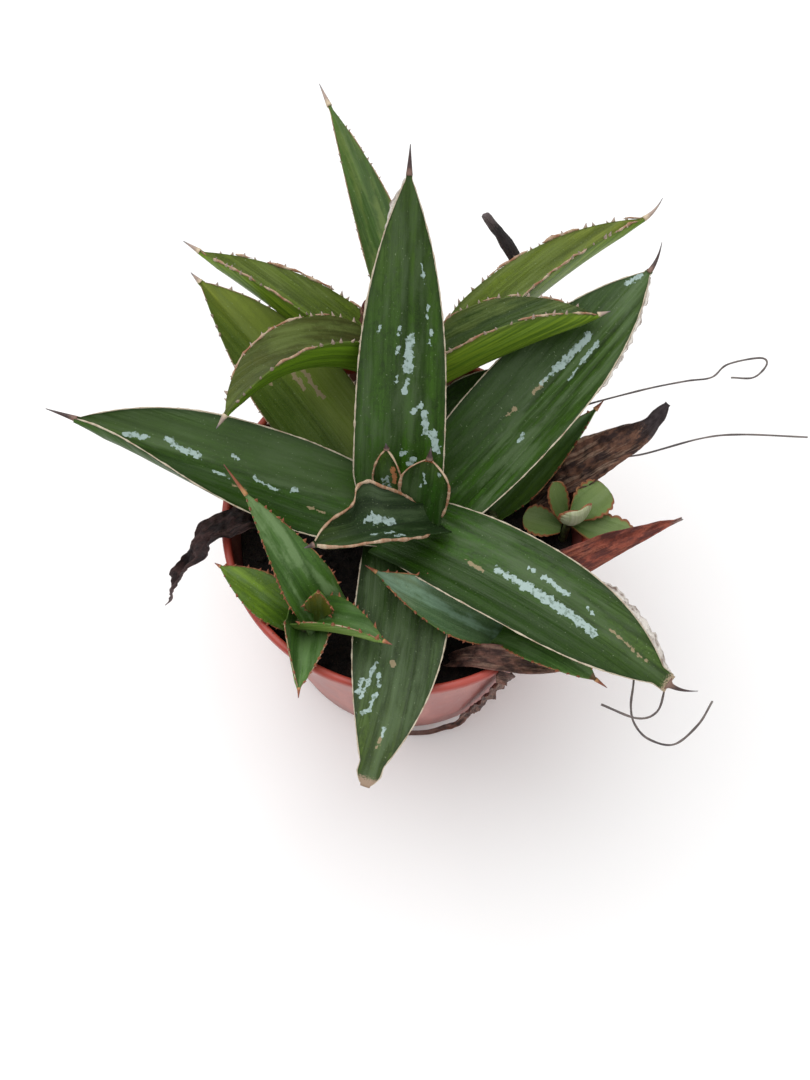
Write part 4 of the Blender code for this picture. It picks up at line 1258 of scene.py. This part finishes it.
def soil_material():
    """Damp compost: nearly black lumps with browner crumbs."""
    skin = Skin("dark_compost", srgb(22, 17, 15))
    where = skin.object_place()
    lump = skin.grain(where, 0.5, 4.0, 0.65)
    crumb = skin.grain(where, 1.7, 4.0, 0.7)
    skin.wash(srgb(46, 33, 27), lump, 0.4, 0.65)
    skin.wash(srgb(84, 62, 50), crumb, 0.58, 0.72, 0.0, 0.8)
    return skin.finish(0.95, skin.plus(lump, crumb), 1.0, 0.0012)


def soil_height(x, y):
    p = Vector((x * 0.12, y * 0.12, 0.4))
    q = Vector((x * 0.45, y * 0.45, 2.4))
    return SOIL_TOP + SOIL_LUMP * (perlin.noise(p) + 0.7 * perlin.noise(q)) - 0.2


def build_soil():
    """The soil lump with its uneven top, and loose crumbs lying on it."""
    turns = 150
    around = np.arange(turns) * 2 * math.pi / turns
    low_r = BASE_R - WALL - GAP
    high_r = BASE_R - WALL + (RIM_R - LIP_W - BASE_R + WALL) * (SOIL_TOP - 2) / (POT_H - LIP_H) - GAP
    bottom = FLOOR + GAP
    rings = [[(r * math.cos(a), r * math.sin(a), z) for a in around]
             for r, z in ((low_r - 3, bottom), (low_r + 0.05, bottom + 1.2), (high_r, SOIL_TOP - 2.5))]
    for r in np.linspace(high_r - 0.2, 0.5, 62):
        rings.append([(r * math.cos(a), r * math.sin(a), soil_height(r * math.cos(a), r * math.sin(a)))
                      for a in around])
    piece = Piece()
    piece.rings(rings, SKIN)
    material = soil_material()
    piece.made("potting_soil_detail", [material], "potting_soil")
    crumbs = Piece()
    draw = random.Random(11)
    for _ in range(CRUMBS):
        r = (high_r - 1.5) * math.sqrt(draw.random())
        a = draw.uniform(0, 2 * math.pi)
        x, y = r * math.cos(a), r * math.sin(a)
        size = draw.uniform(0.5, 1.6)
        stretch = draw.uniform(0.7, 1.8)
        turn = draw.uniform(0, math.pi)
        centre = np.array((x, y, soil_height(x, y) + size * 0.15))
        rows = []
        for lat in (-75, -40, 0, 40, 75):
            row = []
            for k in range(7):
                lon = 2 * math.pi * k / 7
                flat, high = math.cos(math.radians(lat)), math.sin(math.radians(lat))
                d = np.array((math.cos(lon) * flat * stretch, math.sin(lon) * flat, 0.75 * high))
                d = d * size * draw.uniform(0.75, 1.15)
                row.append(centre + np.array((d[0] * math.cos(turn) - d[1] * math.sin(turn),
                                              d[0] * math.sin(turn) + d[1] * math.cos(turn), d[2])))
            rows.append(row)
        crumbs.rings(rows, SKIN)
    crumbs.made("soil_crumbs", [material], None)


def stem_material():
    """Stem: dull green and brown patches with fine paler flecks."""
    skin = Skin("stem_skin", srgb(52, 56, 30))
    where = skin.object_place()
    patch = skin.grain(where, 0.5, 4.0, 0.6)
    fine = skin.grain(where, 2.0, 3.0, 0.6)
    skin.wash(srgb(86, 98, 50), patch, 0.4, 0.62)
    skin.wash(srgb(112, 104, 74), fine, 0.5, 0.7, 0.0, 0.5)
    return skin.finish(skin.step(fine, 0.3, 0.7, 0.5, 0.7), fine, 0.4, 0.0004)


def build_stems():
    """Lumpy stems, a little slimmer than the solids where leaf roots cover them."""
    material = stem_material()
    around = np.arange(24) * 2 * math.pi / 24
    for name, (centre, profile) in STEMS.items():
        drop = STEM_DROP.get(name, 0.0)
        slim = 0.86 if drop else 1.0
        rings = []
        for z in np.linspace(profile[0][0], profile[-1][0] - drop, 26):
            r = stem_radius(profile, z + drop * (z - profile[0][0]) / 40) * slim
            ring = []
            for a in around:
                lump = 1 + 0.08 * perlin.noise(Vector((3 * math.cos(a), 3 * math.sin(a), z * 0.3)))
                ring.append((centre[0] + r * lump * math.cos(a), centre[1] + r * lump * math.sin(a), z))
            rings.append(ring)
        piece = Piece()
        piece.rings(rings, SKIN)
        piece.made(name + "_detail", [material], name)


build_pot()
build_soil()
build_stems()
build_leaves()
build_plantlet()
build_dead_leaves()
build_stalk_and_bud()
build_fibres()
